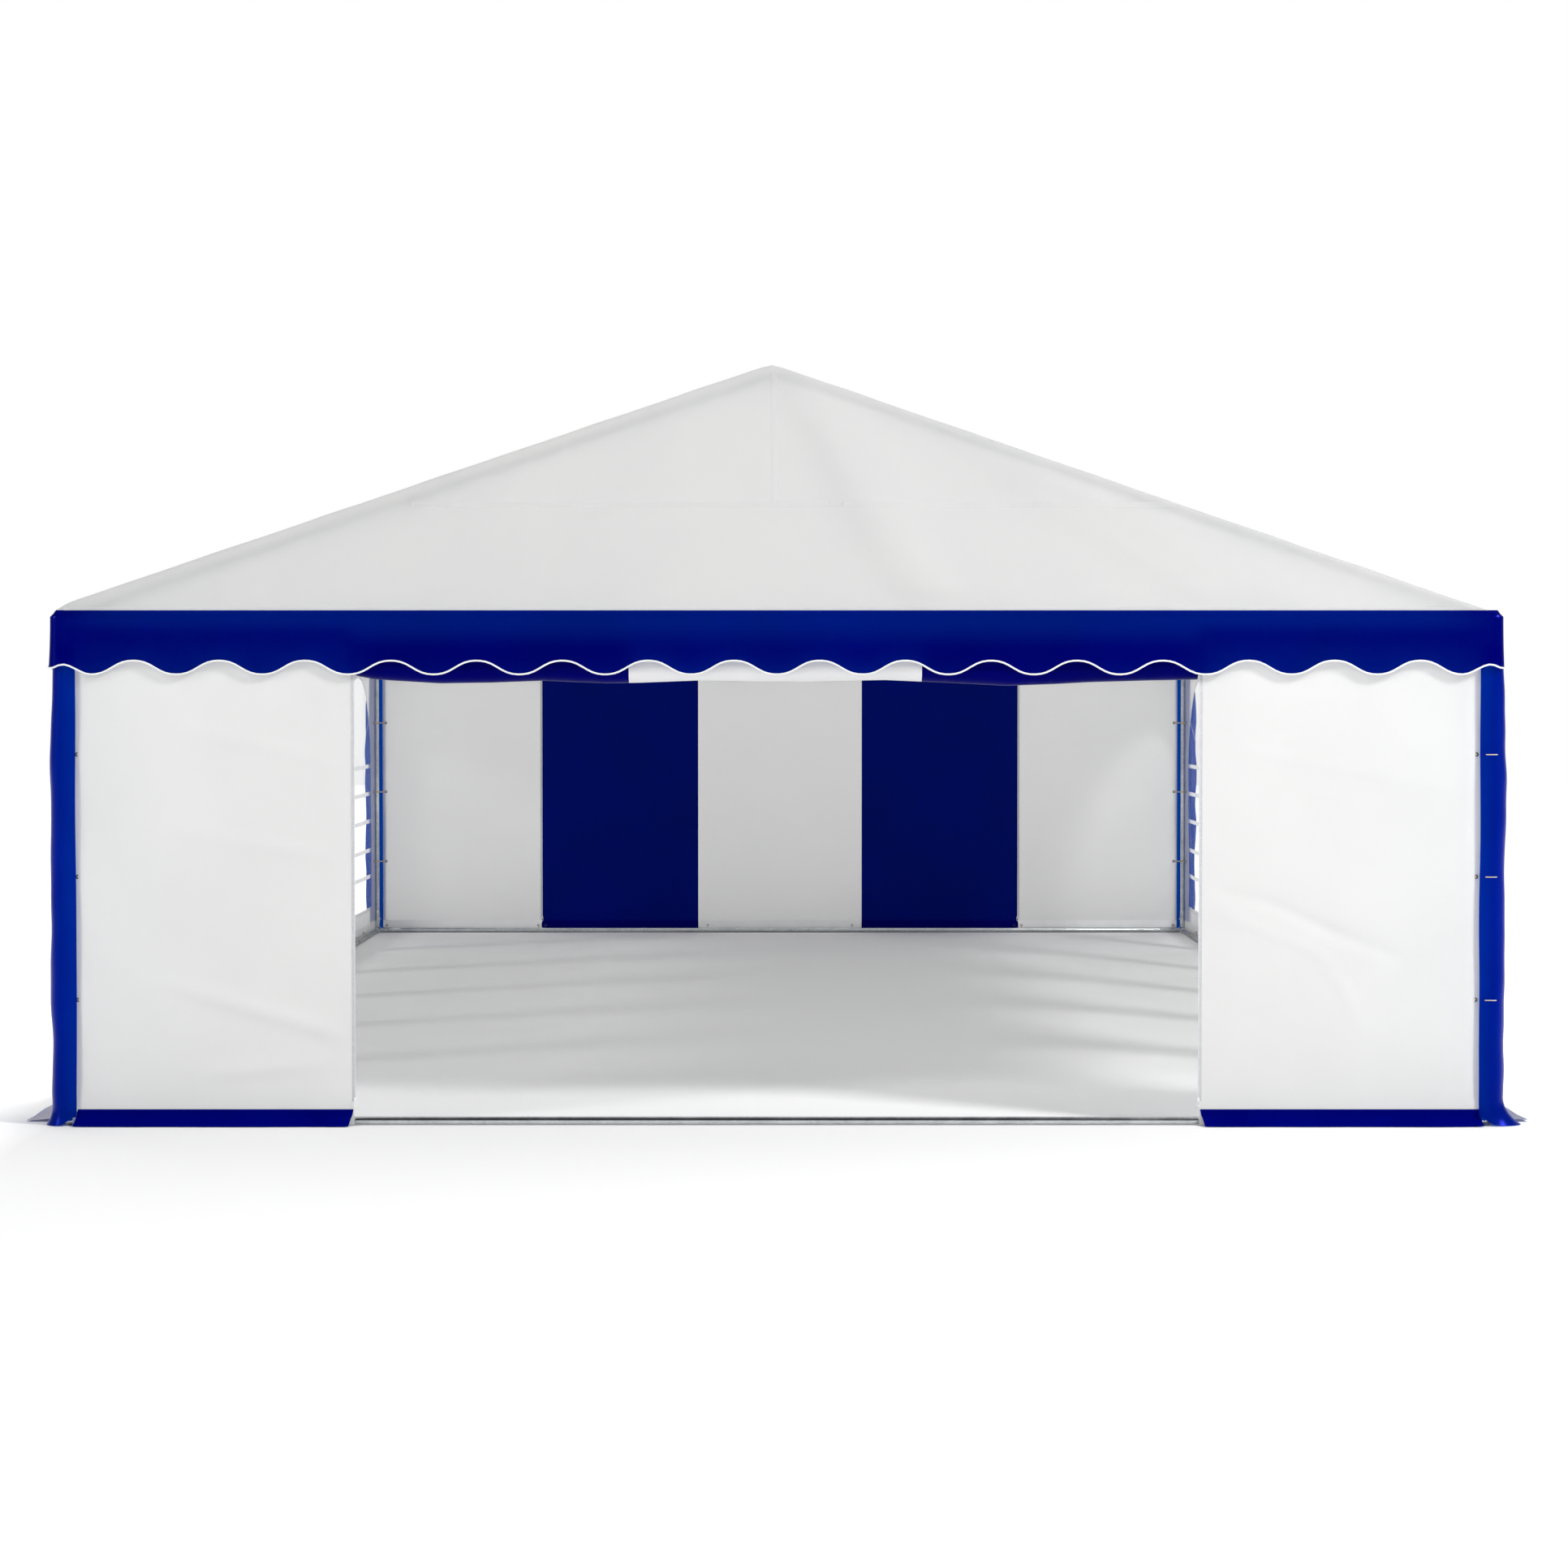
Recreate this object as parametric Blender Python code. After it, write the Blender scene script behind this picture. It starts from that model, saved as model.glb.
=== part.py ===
# Party tent with a gable roof, 6 m wide and 12 m long, on a frame of galvanised tubes.
# Metres, +Z up. The ground is Z = 0, the middle of the floor is the origin, and the
# open doorway looks towards -Y. Each side wall has an arched clear window in every bay.

import math

import bmesh
import bpy
from mathutils import Vector

# Overall sizes, to the outer faces of the roof cover
HALF_WIDTH = 3.0
HALF_LENGTH = 6.0
EAVES_HEIGHT = 2.133
RIDGE_HEIGHT = 3.133

# Between pieces that touch
CONTACT_GAP = 0.0003

# Cloth and clear film, thicker than real so that each is a sound solid
CLOTH = 0.004
FILM = 0.0015

# Tubes of the frame
FRAME_COUNT = 7
LEG_INSET = 0.043
TUBE_SIDES = 12
TUBE_RADIUS = 0.019
SLEEVE_RADIUS = 0.0205
SLEEVE_LENGTH = 0.12
GROUND_BAR_RADIUS = 0.016
FOOT_SLEEVE_RADIUS = 0.019
FOOT_SLEEVE_LENGTH = 0.15
CROSSBAR_DROP = 0.105

# Scalloped valance
VALANCE_MIDLINE = 1.8975
SCALLOP_AMPLITUDE = 0.0325
GABLE_SCALLOPS = 17
SIDE_SCALLOPS = 34
SCALLOP_STEPS = 6

# Walls
DOOR_HALF_WIDTH = 1.75
WALL_TOP = 2.07
WINDOW_WIDTH = 1.66
WINDOW_SILL = 0.195
WINDOW_SPRING = 1.225
WINDOW_APEX = 1.865
ARCH_STEPS = 14
FILM_MARGIN = 0.05

# Rolled-up door
ROLL_RADIUS = 0.06
ROLL_HEIGHT = 1.885
ROLL_SETBACK = 0.045
ROLL_NECK_HALF = 0.012
ROLL_STEPS = 12
ROLL_END_GAP = 0.005

# Corner covers and ground flaps
COVER_INNER_X = 2.896
COVER_SIDE_LENGTH = 0.46
COVER_TOP = 1.98
FLAP_HEIGHT = 0.075
FLAP_REACH = 0.085

# Worked out from the sizes above
LEG_X = HALF_WIDTH - LEG_INSET
LEG_Y = HALF_LENGTH - LEG_INSET
BAY = 2 * LEG_Y / (FRAME_COUNT - 1)
ROOF_FALL = (RIDGE_HEIGHT - EAVES_HEIGHT) / HALF_WIDTH
ROOF_ANGLE = math.atan(ROOF_FALL)
CLOTH_DROP = CLOTH / math.cos(ROOF_ANGLE)
RAFTER_DROP = (CLOTH + CONTACT_GAP + SLEEVE_RADIUS) / math.cos(ROOF_ANGLE)
EAVES_BAR_Z = RIDGE_HEIGHT - ROOF_FALL * LEG_X - RAFTER_DROP
RIDGE_BAR_Z = RIDGE_HEIGHT - RAFTER_DROP
CROSSBAR_Z = EAVES_BAR_Z - CROSSBAR_DROP
FOOT_TOP = 2 * FOOT_SLEEVE_RADIUS
LEG_BOTTOM = FOOT_TOP + CONTACT_GAP
LEG_TOP = EAVES_BAR_Z - TUBE_RADIUS - CONTACT_GAP

SIDE_FILM_INNER = LEG_X + SLEEVE_RADIUS + CONTACT_GAP
SIDE_WALL_INNER = SIDE_FILM_INNER + FILM + CONTACT_GAP
SIDE_WALL_OUTER = SIDE_WALL_INNER + CLOTH
END_WALL_INNER = LEG_Y + SLEEVE_RADIUS + CONTACT_GAP
END_WALL_OUTER = END_WALL_INNER + CLOTH
SIDE_SKIN = SIDE_WALL_OUTER + CONTACT_GAP
END_SKIN = END_WALL_OUTER + CONTACT_GAP

SIDES = (("left", -1), ("right", 1))
ENDS = (("front", -1), ("back", 1))


def start_empty():
    for thing in list(bpy.data.objects):
        bpy.data.objects.remove(thing, do_unlink=True)


def make_material(name, colour, roughness, metallic=0.0, alpha=1.0):
    material = bpy.data.materials.new(name)
    material.use_nodes = True
    shader = material.node_tree.nodes["Principled BSDF"]
    shader.inputs["Base Color"].default_value = (*colour, 1.0)
    shader.inputs["Roughness"].default_value = roughness
    shader.inputs["Metallic"].default_value = metallic
    shader.inputs["Alpha"].default_value = alpha
    return material


def add_object(name, bm, material, location=(0, 0, 0), direction=None, parent=None):
    bmesh.ops.recalc_face_normals(bm, faces=bm.faces[:])
    mesh = bpy.data.meshes.new(name)
    bm.to_mesh(mesh)
    bm.free()
    if material:
        mesh.materials.append(material)
    thing = bpy.data.objects.new(name, mesh)
    bpy.context.collection.objects.link(thing)
    thing.location = location
    if direction is not None:
        thing.rotation_euler = direction.to_track_quat("Z", "Y").to_euler()
    thing.parent = parent
    return thing


def turned_bar(name, start, end, radius, collars, material, parent):
    # A round bar from start to end, its profile turned about its own Z axis.
    # Each collar is (from, to, radius), in order along the bar.
    start = Vector(start)
    along = Vector(end) - start
    length = along.length
    profile = [(0.0, 0.0)]
    reached = 0.0
    for low, high, collar_radius in collars:
        if low > reached:
            profile += [(radius, reached), (radius, low)]
        profile += [(collar_radius, low), (collar_radius, high)]
        reached = high
    if reached < length:
        profile += [(radius, reached), (radius, length)]
    profile.append((0.0, length))
    bm = bmesh.new()
    points = [bm.verts.new((x, 0.0, z)) for x, z in profile]
    edges = [bm.edges.new(pair) for pair in zip(points, points[1:])]
    bmesh.ops.spin(bm, geom=points + edges, cent=(0, 0, 0), axis=(0, 0, 1),
                   angle=math.tau, steps=TUBE_SIDES, use_merge=True)
    bmesh.ops.remove_doubles(bm, verts=bm.verts[:], dist=0.00001)
    bar = add_object(name, bm, material, start, along, parent)
    bar.data.shade_smooth()
    bar.data.set_sharp_from_angle(angle=math.radians(40))
    return bar


def prism(name, outline, axis, low, high, material, parent):
    # A flat outline pushed from low to high along one axis. The outline's points are
    # in the other two axes, in the order X, Y, Z.
    def place(a, b, depth):
        point = [a, b]
        point.insert("XYZ".index(axis), depth)
        return point

    bm = bmesh.new()
    face = bm.faces.new([bm.verts.new(place(a, b, low)) for a, b in outline])
    raised = bmesh.ops.extrude_face_region(bm, geom=[face])
    moved = [item for item in raised["geom"] if isinstance(item, bmesh.types.BMVert)]
    bmesh.ops.translate(bm, verts=moved, vec=place(0.0, 0.0, high - low))
    return add_object(name, bm, material, parent=parent)


def slab(name, low, high, material, parent):
    outline = [(low[0], low[1]), (high[0], low[1]), (high[0], high[1]), (low[0], high[1])]
    return prism(name, outline, "Z", low[2], high[2], material, parent)


def roof_height(x):
    return RIDGE_HEIGHT - ROOF_FALL * abs(x)


def round_reach(radius, angle):
    # How far a tube with TUBE_SIDES flats reaches at an angle from one of its corners
    step = math.tau / TUBE_SIDES
    nearest = round(angle / step) * step
    return radius * math.cos(angle - nearest)


def scallops(start, stop, count):
    # Wavy hem from start to stop, both on the crest of a wave
    steps = count * SCALLOP_STEPS
    points = []
    for step in range(steps + 1):
        part = step / steps
        rise = SCALLOP_AMPLITUDE * math.cos(math.tau * count * part)
        points.append((start + (stop - start) * part, VALANCE_MIDLINE + rise))
    return points


def frame_positions():
    return [-LEG_Y + BAY * number for number in range(FRAME_COUNT)]


def make_frame(steel, parent):
    leg_length = LEG_TOP - LEG_BOTTOM
    for side, sign in SIDES:
        for number, y in enumerate(frame_positions(), 1):
            turned_bar(f"leg_{side}_{number}", (sign * LEG_X, y, LEG_BOTTOM), (sign * LEG_X, y, LEG_TOP),
                       TUBE_RADIUS,
                       [(0.0, SLEEVE_LENGTH, SLEEVE_RADIUS),
                        (leg_length - SLEEVE_LENGTH, leg_length, SLEEVE_RADIUS)],
                       steel, parent)
            make_rafter(f"rafter_{side}_{number}", sign, y, steel, parent)
        turned_bar(f"eaves_bar_{side}", (sign * LEG_X, -LEG_Y - TUBE_RADIUS, EAVES_BAR_Z),
                   (sign * LEG_X, LEG_Y + TUBE_RADIUS, EAVES_BAR_Z), TUBE_RADIUS, [], steel, parent)
        make_side_ground_bar(f"ground_bar_{side}", sign, steel, parent)
    turned_bar("ridge_bar", (0, -LEG_Y - TUBE_RADIUS, RIDGE_BAR_Z), (0, LEG_Y + TUBE_RADIUS, RIDGE_BAR_Z),
               TUBE_RADIUS, [], steel, parent)
    for end, sign in ENDS:
        y = sign * LEG_Y
        reach = LEG_X - SLEEVE_RADIUS - CONTACT_GAP
        turned_bar(f"crossbar_{end}", (-reach, y, CROSSBAR_Z), (reach, y, CROSSBAR_Z), TUBE_RADIUS,
                   [(0.0, SLEEVE_LENGTH, SLEEVE_RADIUS),
                    (2 * reach - SLEEVE_LENGTH, 2 * reach, SLEEVE_RADIUS)], steel, parent)
        reach = LEG_X - FOOT_SLEEVE_RADIUS - CONTACT_GAP
        turned_bar(f"ground_bar_{end}", (-reach, y, FOOT_SLEEVE_RADIUS), (reach, y, FOOT_SLEEVE_RADIUS),
                   GROUND_BAR_RADIUS,
                   [(0.0, FOOT_SLEEVE_LENGTH, FOOT_SLEEVE_RADIUS),
                    (2 * reach - FOOT_SLEEVE_LENGTH, 2 * reach, FOOT_SLEEVE_RADIUS)], steel, parent)


def make_rafter(name, sign, y, steel, parent):
    # Runs between the eaves bar and the ridge bar, in line with the roof
    slope = Vector((-sign * math.cos(ROOF_ANGLE), 0, math.sin(ROOF_ANGLE)))
    clear = round_reach(TUBE_RADIUS, ROOF_ANGLE) + CONTACT_GAP
    start = Vector((sign * LEG_X, y, EAVES_BAR_Z)) + slope * clear
    end = Vector((0, y, RIDGE_BAR_Z)) - slope * clear
    length = (end - start).length
    turned_bar(name, start, end, TUBE_RADIUS,
               [(0.0, SLEEVE_LENGTH, SLEEVE_RADIUS),
                (length - SLEEVE_LENGTH, length, SLEEVE_RADIUS)], steel, parent)


def make_side_ground_bar(name, sign, steel, parent):
    reach = LEG_Y + FOOT_SLEEVE_RADIUS
    collars = []
    for y in frame_positions():
        low = max(y + reach - FOOT_SLEEVE_LENGTH / 2, 0.0)
        high = min(y + reach + FOOT_SLEEVE_LENGTH / 2, 2 * reach)
        collars.append((low, high, FOOT_SLEEVE_RADIUS))
    turned_bar(name, (sign * LEG_X, -reach, FOOT_SLEEVE_RADIUS), (sign * LEG_X, reach, FOOT_SLEEVE_RADIUS),
               GROUND_BAR_RADIUS, collars, steel, parent)


def make_roof(white, blue, parent):
    inner_end = HALF_LENGTH - CLOTH - CONTACT_GAP
    edge = HALF_WIDTH - CLOTH - CONTACT_GAP
    for side, sign in SIDES:
        top = CONTACT_GAP / 2
        outline = [(sign * top, roof_height(top)), (sign * edge, roof_height(edge)),
                   (sign * edge, roof_height(edge) - CLOTH_DROP),
                   (sign * top, roof_height(top) - CLOTH_DROP)]
        prism(f"roof_slope_{side}", outline, "Y", -inner_end, inner_end, white, parent)
        hem = scallops(-inner_end, inner_end, SIDE_SCALLOPS)
        outline = [(inner_end, EAVES_HEIGHT), (-inner_end, EAVES_HEIGHT)] + hem
        inner, outer = sorted((sign * (HALF_WIDTH - CLOTH), sign * HALF_WIDTH))
        prism(f"valance_{side}", outline, "X", inner, outer, blue, parent)
    for end, sign in ENDS:
        hem = scallops(-HALF_WIDTH, HALF_WIDTH, GABLE_SCALLOPS)
        outline = [(HALF_WIDTH, EAVES_HEIGHT), (0, RIDGE_HEIGHT), (-HALF_WIDTH, EAVES_HEIGHT)] + hem
        inner, outer = sorted((sign * (HALF_LENGTH - CLOTH), sign * HALF_LENGTH))
        prism(f"gable_{end}", outline, "Y", inner, outer, white, parent)


def window_outline(centre):
    half = WINDOW_WIDTH / 2
    rise = WINDOW_APEX - WINDOW_SPRING
    points = [(centre - half, WINDOW_SILL), (centre + half, WINDOW_SILL)]
    for step in range(ARCH_STEPS + 1):
        angle = math.pi * step / ARCH_STEPS
        points.append((centre + half * math.cos(angle), WINDOW_SPRING + rise * math.sin(angle)))
    return points


def make_side_wall(side, sign, white, clear, parent):
    inner, outer = sorted((sign * SIDE_WALL_INNER, sign * SIDE_WALL_OUTER))
    wall = slab(f"side_wall_{side}", (inner, -END_WALL_OUTER, 0.0), (outer, END_WALL_OUTER, WALL_TOP),
                white, parent)
    for number, y in enumerate(frame_positions()[:-1], 1):
        cutter = prism(f"window_cutter_{side}_{number}", window_outline(y + BAY / 2), "X",
                       inner - CLOTH, outer + CLOTH, None, parent)
        cutter.hide_render = True
        cutter.display_type = "WIRE"
        cut = wall.modifiers.new(f"window_{number}", "BOOLEAN")
        cut.operation = "DIFFERENCE"
        cut.solver = "EXACT"
        cut.object = cutter
    inner, outer = sorted((sign * SIDE_FILM_INNER, sign * (SIDE_FILM_INNER + FILM)))
    slab(f"window_film_{side}", (inner, -LEG_Y + FILM_MARGIN, WINDOW_SILL - FILM_MARGIN),
         (outer, LEG_Y - FILM_MARGIN, WINDOW_APEX + FILM_MARGIN), clear, parent)


def make_front_panel(side, sign, white, parent):
    # One face for the panel and one behind the corner cover, over a low strip of each.
    # The low strip beside the doorway is pushed out along the ground as the flap.
    columns = [sign * x for x in (DOOR_HALF_WIDTH, COVER_INNER_X - CONTACT_GAP, SIDE_WALL_INNER - CONTACT_GAP)]
    rows = (0.0, CLOTH, WALL_TOP)
    bm = bmesh.new()
    grid = [[bm.verts.new((x, -END_WALL_OUTER, z)) for z in rows] for x in columns]
    cells = []
    for column in range(2):
        for row in range(2):
            cells.append(bm.faces.new((grid[column][row], grid[column + 1][row],
                                       grid[column + 1][row + 1], grid[column][row + 1])))
    flap = cells[0]
    pushed = bmesh.ops.extrude_face_region(bm, geom=cells)
    moved = [item for item in pushed["geom"] if isinstance(item, bmesh.types.BMVert)]
    bmesh.ops.translate(bm, verts=moved, vec=(0, CLOTH, 0))
    pushed = bmesh.ops.extrude_face_region(bm, geom=[flap] + flap.edges[:])
    moved = [item for item in pushed["geom"] if isinstance(item, bmesh.types.BMVert)]
    bmesh.ops.translate(bm, verts=moved, vec=(0, END_WALL_OUTER - END_SKIN - FLAP_REACH, 0))
    return add_object(f"front_panel_{side}", bm, white, parent=parent)


def make_door_roll(white, parent):
    # Cloth that hangs from the front crossbar and is rolled up below it
    y = -LEG_Y
    neck = CROSSBAR_Z - TUBE_RADIUS - CONTACT_GAP
    outline = [(y - ROLL_NECK_HALF, neck), (y + ROLL_NECK_HALF, neck)]
    first = math.radians(50)
    last = math.radians(-230)
    for step in range(ROLL_STEPS + 1):
        angle = first + (last - first) * step / ROLL_STEPS
        outline.append((y + ROLL_SETBACK + ROLL_RADIUS * math.cos(angle),
                        ROLL_HEIGHT + ROLL_RADIUS * math.sin(angle)))
    reach = DOOR_HALF_WIDTH - ROLL_END_GAP
    prism("front_door_roll", outline, "X", -reach, reach, white, parent)


def make_back_wall(white, parent):
    inner_edge = DOOR_HALF_WIDTH + CONTACT_GAP
    outer_edge = SIDE_WALL_INNER - CONTACT_GAP
    for side, sign in SIDES:
        low, high = sorted((sign * inner_edge, sign * outer_edge))
        slab(f"back_panel_{side}", (low, END_WALL_INNER, 0.0), (high, END_WALL_OUTER, WALL_TOP), white, parent)
    slab("back_door", (-DOOR_HALF_WIDTH, END_WALL_INNER, 0.0),
         (DOOR_HALF_WIDTH, END_WALL_OUTER, WALL_TOP), white, parent)


def flap_outline(sign, skin):
    # Stands against the wall and turns out along the ground
    return [(sign * skin, 0.0), (sign * (skin + FLAP_REACH), 0.0), (sign * (skin + FLAP_REACH), CLOTH),
            (sign * (skin + CLOTH), CLOTH), (sign * (skin + CLOTH), FLAP_HEIGHT), (sign * skin, FLAP_HEIGHT)]


def make_ground_flaps(blue, parent):
    for side, sign in SIDES:
        prism(f"ground_flap_{side}", flap_outline(sign, SIDE_SKIN), "Y",
              -END_WALL_OUTER, END_WALL_OUTER, blue, parent)
    reach = COVER_INNER_X - CONTACT_GAP
    prism("ground_flap_back", flap_outline(1, END_SKIN), "X", -reach, reach, blue, parent)


def make_corner_cover(name, side_sign, end_sign, blue, parent):
    # A strip folded round the corner. Its gable part reaches the ground, and its side
    # part stops above the side wall's flap.
    low = FLAP_HEIGHT + CONTACT_GAP
    inner_x = side_sign * COVER_INNER_X
    skin_x = side_sign * SIDE_SKIN
    outer_x = side_sign * (SIDE_SKIN + CLOTH)
    skin_y = end_sign * END_SKIN
    outer_y = end_sign * (END_SKIN + CLOTH)
    far_y = end_sign * (END_SKIN - COVER_SIDE_LENGTH)
    bm = bmesh.new()
    gable_part = [(inner_x, skin_y), (inner_x, outer_y), (outer_x, outer_y), (skin_x, skin_y)]
    side_part = [(outer_x, outer_y), (outer_x, far_y), (skin_x, far_y), (skin_x, skin_y)]
    points = {place: bm.verts.new((*place, low)) for place in gable_part + side_part}
    faces = [bm.faces.new([points[place] for place in part]) for part in (gable_part, side_part)]
    raised = bmesh.ops.extrude_face_region(bm, geom=faces)
    moved = [item for item in raised["geom"] if isinstance(item, bmesh.types.BMVert)]
    bmesh.ops.translate(bm, verts=moved, vec=(0, 0, COVER_TOP - low))
    lowered = bmesh.ops.extrude_face_region(bm, geom=[faces[0]] + faces[0].edges[:])
    moved = [item for item in lowered["geom"] if isinstance(item, bmesh.types.BMVert)]
    bmesh.ops.translate(bm, verts=moved, vec=(0, 0, -low))
    return add_object(name, bm, blue, parent=parent)


def main():
    start_empty()
    steel = make_material("galvanised_steel", (0.55, 0.56, 0.57), 0.35, metallic=1.0)
    white = make_material("white_tarpaulin", (0.82, 0.83, 0.84), 0.45)
    blue = make_material("blue_tarpaulin", (0.0, 0.012, 0.19), 0.3)
    clear = make_material("clear_film", (0.9, 0.93, 0.96), 0.08, alpha=0.35)
    tent = bpy.data.objects.new("tent", None)
    bpy.context.collection.objects.link(tent)
    make_frame(steel, tent)
    make_roof(white, blue, tent)
    for side, sign in SIDES:
        make_side_wall(side, sign, white, clear, tent)
        make_front_panel(side, sign, white, tent)
    make_door_roll(white, tent)
    make_back_wall(white, tent)
    make_ground_flaps(blue, tent)
    for end, end_sign in ENDS:
        for side, side_sign in SIDES:
            make_corner_cover(f"corner_cover_{end}_{side}", side_sign, end_sign, blue, tent)


main()
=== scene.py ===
# Party tent, 6 by 12 m: the cloth, film, tubes and cords that show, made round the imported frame.
import math

import bpy
import numpy as np
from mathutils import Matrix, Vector


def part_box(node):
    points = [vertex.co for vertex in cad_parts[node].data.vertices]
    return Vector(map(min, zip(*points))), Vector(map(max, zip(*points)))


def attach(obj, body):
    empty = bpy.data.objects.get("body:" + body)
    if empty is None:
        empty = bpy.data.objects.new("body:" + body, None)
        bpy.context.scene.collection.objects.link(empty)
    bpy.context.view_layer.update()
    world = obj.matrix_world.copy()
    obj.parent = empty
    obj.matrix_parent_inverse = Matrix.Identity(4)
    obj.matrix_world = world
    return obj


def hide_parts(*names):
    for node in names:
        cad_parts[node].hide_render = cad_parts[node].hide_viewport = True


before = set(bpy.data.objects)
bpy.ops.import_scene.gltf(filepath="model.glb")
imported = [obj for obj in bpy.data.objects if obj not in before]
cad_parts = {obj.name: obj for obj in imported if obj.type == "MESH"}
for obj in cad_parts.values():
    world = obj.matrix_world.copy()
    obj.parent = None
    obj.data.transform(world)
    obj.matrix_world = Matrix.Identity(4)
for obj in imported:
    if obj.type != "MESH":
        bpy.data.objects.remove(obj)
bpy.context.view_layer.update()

tau = math.tau

# Places that the pieces share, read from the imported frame
tent = {
    "halfWidth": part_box("gable_front")[1].x,
    "halfLength": -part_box("gable_front")[0].y,
    "eaves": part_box("valance_right")[1].z,
    "legX": sum(corner.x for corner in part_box("leg_right_1")) / 2,
    "legY": sum(corner.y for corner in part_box("leg_right_7")) / 2,
    "legRadius": 0.019,
    "wallX": sum(corner.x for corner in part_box("side_wall_right")) / 2,
    "wallY": sum(corner.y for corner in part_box("back_door")) / 2,
    "wallTop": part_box("back_door")[1].z,
    "doorHalf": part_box("back_door")[1].x,
    "stripeHalf": 0.6,          # half the white stripe in the middle of a door
    "coverInner": 2.896,        # inner edge of a corner cover on a gable wall
    "wallEnd": 2.916,           # where a gable wall stops, short of the corner leg
    "sideEnd": 5.945,           # where a side wall stops
    "wallFoot": 0.004,          # all walls end this far above the ground
    "bays": 6,
}
bayLength = 2 * tent["legY"] / tent["bays"]
sides = (("left", -1), ("right", 1))
ends = (("front", -1), ("back", 1))


# Materials

def toLinear(hexColour):
    channels = [int(hexColour[i:i + 2], 16) / 255 for i in (1, 3, 5)]
    return [c / 12.92 if c <= 0.04045 else ((c + 0.055) / 1.055) ** 2.4 for c in channels] + [1.0]


def addNode(tree, kind, values=None, links=None, **settings):
    node = tree.nodes.new(kind)
    for name, setting in settings.items():
        setattr(node, name, setting)
    for socket, value in (values or {}).items():
        node.inputs[socket].default_value = value
    for socket, source in (links or {}).items():
        tree.links.new(source, node.inputs[socket])
    return node


def startMaterial(name):
    material = bpy.data.materials.new(name)
    material.use_nodes = True
    material.node_tree.nodes.clear()
    return material, material.node_tree


def rampBetween(tree, factor, low, high, start=0.35, stop=0.65):
    ramp = addNode(tree, "ShaderNodeValToRGB", links={"Fac": factor})
    ramp.color_ramp.elements[0].position = start
    ramp.color_ramp.elements[1].position = stop
    ramp.color_ramp.elements[0].color = low
    ramp.color_ramp.elements[1].color = high
    return ramp


tarpaulin = {
    "threadMm": 5.0,        # real threads are about 1 mm apart, drawn coarser so that they show close up
    "threadDepth": 0.00012,
    "creaseMm": 190, "creaseDepth": 0.004,
    "toneSize": 1.7, "rubSize": 9.0,
    # Each cloth: the coating where clean and where rubbed, the light that comes through and its share,
    # roughness, how strongly it mirrors and in what colour
    "roofWhite": ("#d9d9d8", "#d5d5d5", "#f6f6f5", 0.42, 0.45, 0.25, "#ffffff"),
    # The walls' copy of the white cloth is lighter than the roof's: painted light for the extra light on the
    # walls
    "wallWhitePaintedLight": ("#efefee", "#eaeae9", "#f6f6f5", 0.42, 0.45, 0.25, "#ffffff"),
    # The rolled door's white is made extra light: painted light against the valance's shade on it
    "doorWhitePaintedLight": ("#f4f4f5", "#f0f0f1", "#f6f6f5", 0.08, 0.45, 0.25, "#ffffff"),
    "seamWhite": ("#eaeaea", "#e6e6e6", "#fcfcfc", 0.70, 0.45, 0.25, "#ffffff"),
    "glazingWhite": ("#f1f2f3", "#eceded", "#fbfbfc", 0.70, 0.45, 0.25, "#ffffff"),
    "valanceBlue": ("#000067", "#00005e", "#0458cc", 0.17, 0.20, 0.50, "#2030ff"),
    # The covers' blue is lighter than the valance's: painted light for the light that falls on and through
    # the covers
    "coverBluePaintedLight": ("#001684", "#001076", "#0a62e0", 0.30, 0.22, 0.50, "#2030ff"),
    "flapBlue": ("#000672", "#000264", "#0a2fc0", 0.06, 0.70, 0.0, "#2030ff"),
    "doorBlue": ("#000067", "#00005e", "#0458cc", 0.03, 0.30, 0.05, "#8ca0ff"),
}


def clothBump(tree, place):
    # Threads of the woven core that show through the coating, and slight unevenness from folding
    threads = tau / (0.001 * tarpaulin["threadMm"]) / 20      # a wave of scale 1 has 20 bands in tau
    across, along = (addNode(tree, "ShaderNodeTexWave", {"Scale": threads, "Distortion": 0.4},
                             {"Vector": place}, bands_direction=way) for way in ("X", "Y"))
    weave = addNode(tree, "ShaderNodeMath", links={0: across.outputs["Fac"], 1: along.outputs["Fac"]},
                    operation="MAXIMUM")
    crease = addNode(tree, "ShaderNodeTexNoise",
                     {"Scale": 1000 / tarpaulin["creaseMm"], "Detail": 3.0, "Roughness": 0.45},
                     {"Vector": place})
    fine = addNode(tree, "ShaderNodeBump", {"Strength": 0.5, "Distance": tarpaulin["threadDepth"]},
                   {"Height": weave.outputs[0]})
    return addNode(tree, "ShaderNodeBump", {"Strength": 0.6, "Distance": tarpaulin["creaseDepth"]},
                   {"Height": crease.outputs["Fac"], "Normal": fine.outputs[0]})


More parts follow.
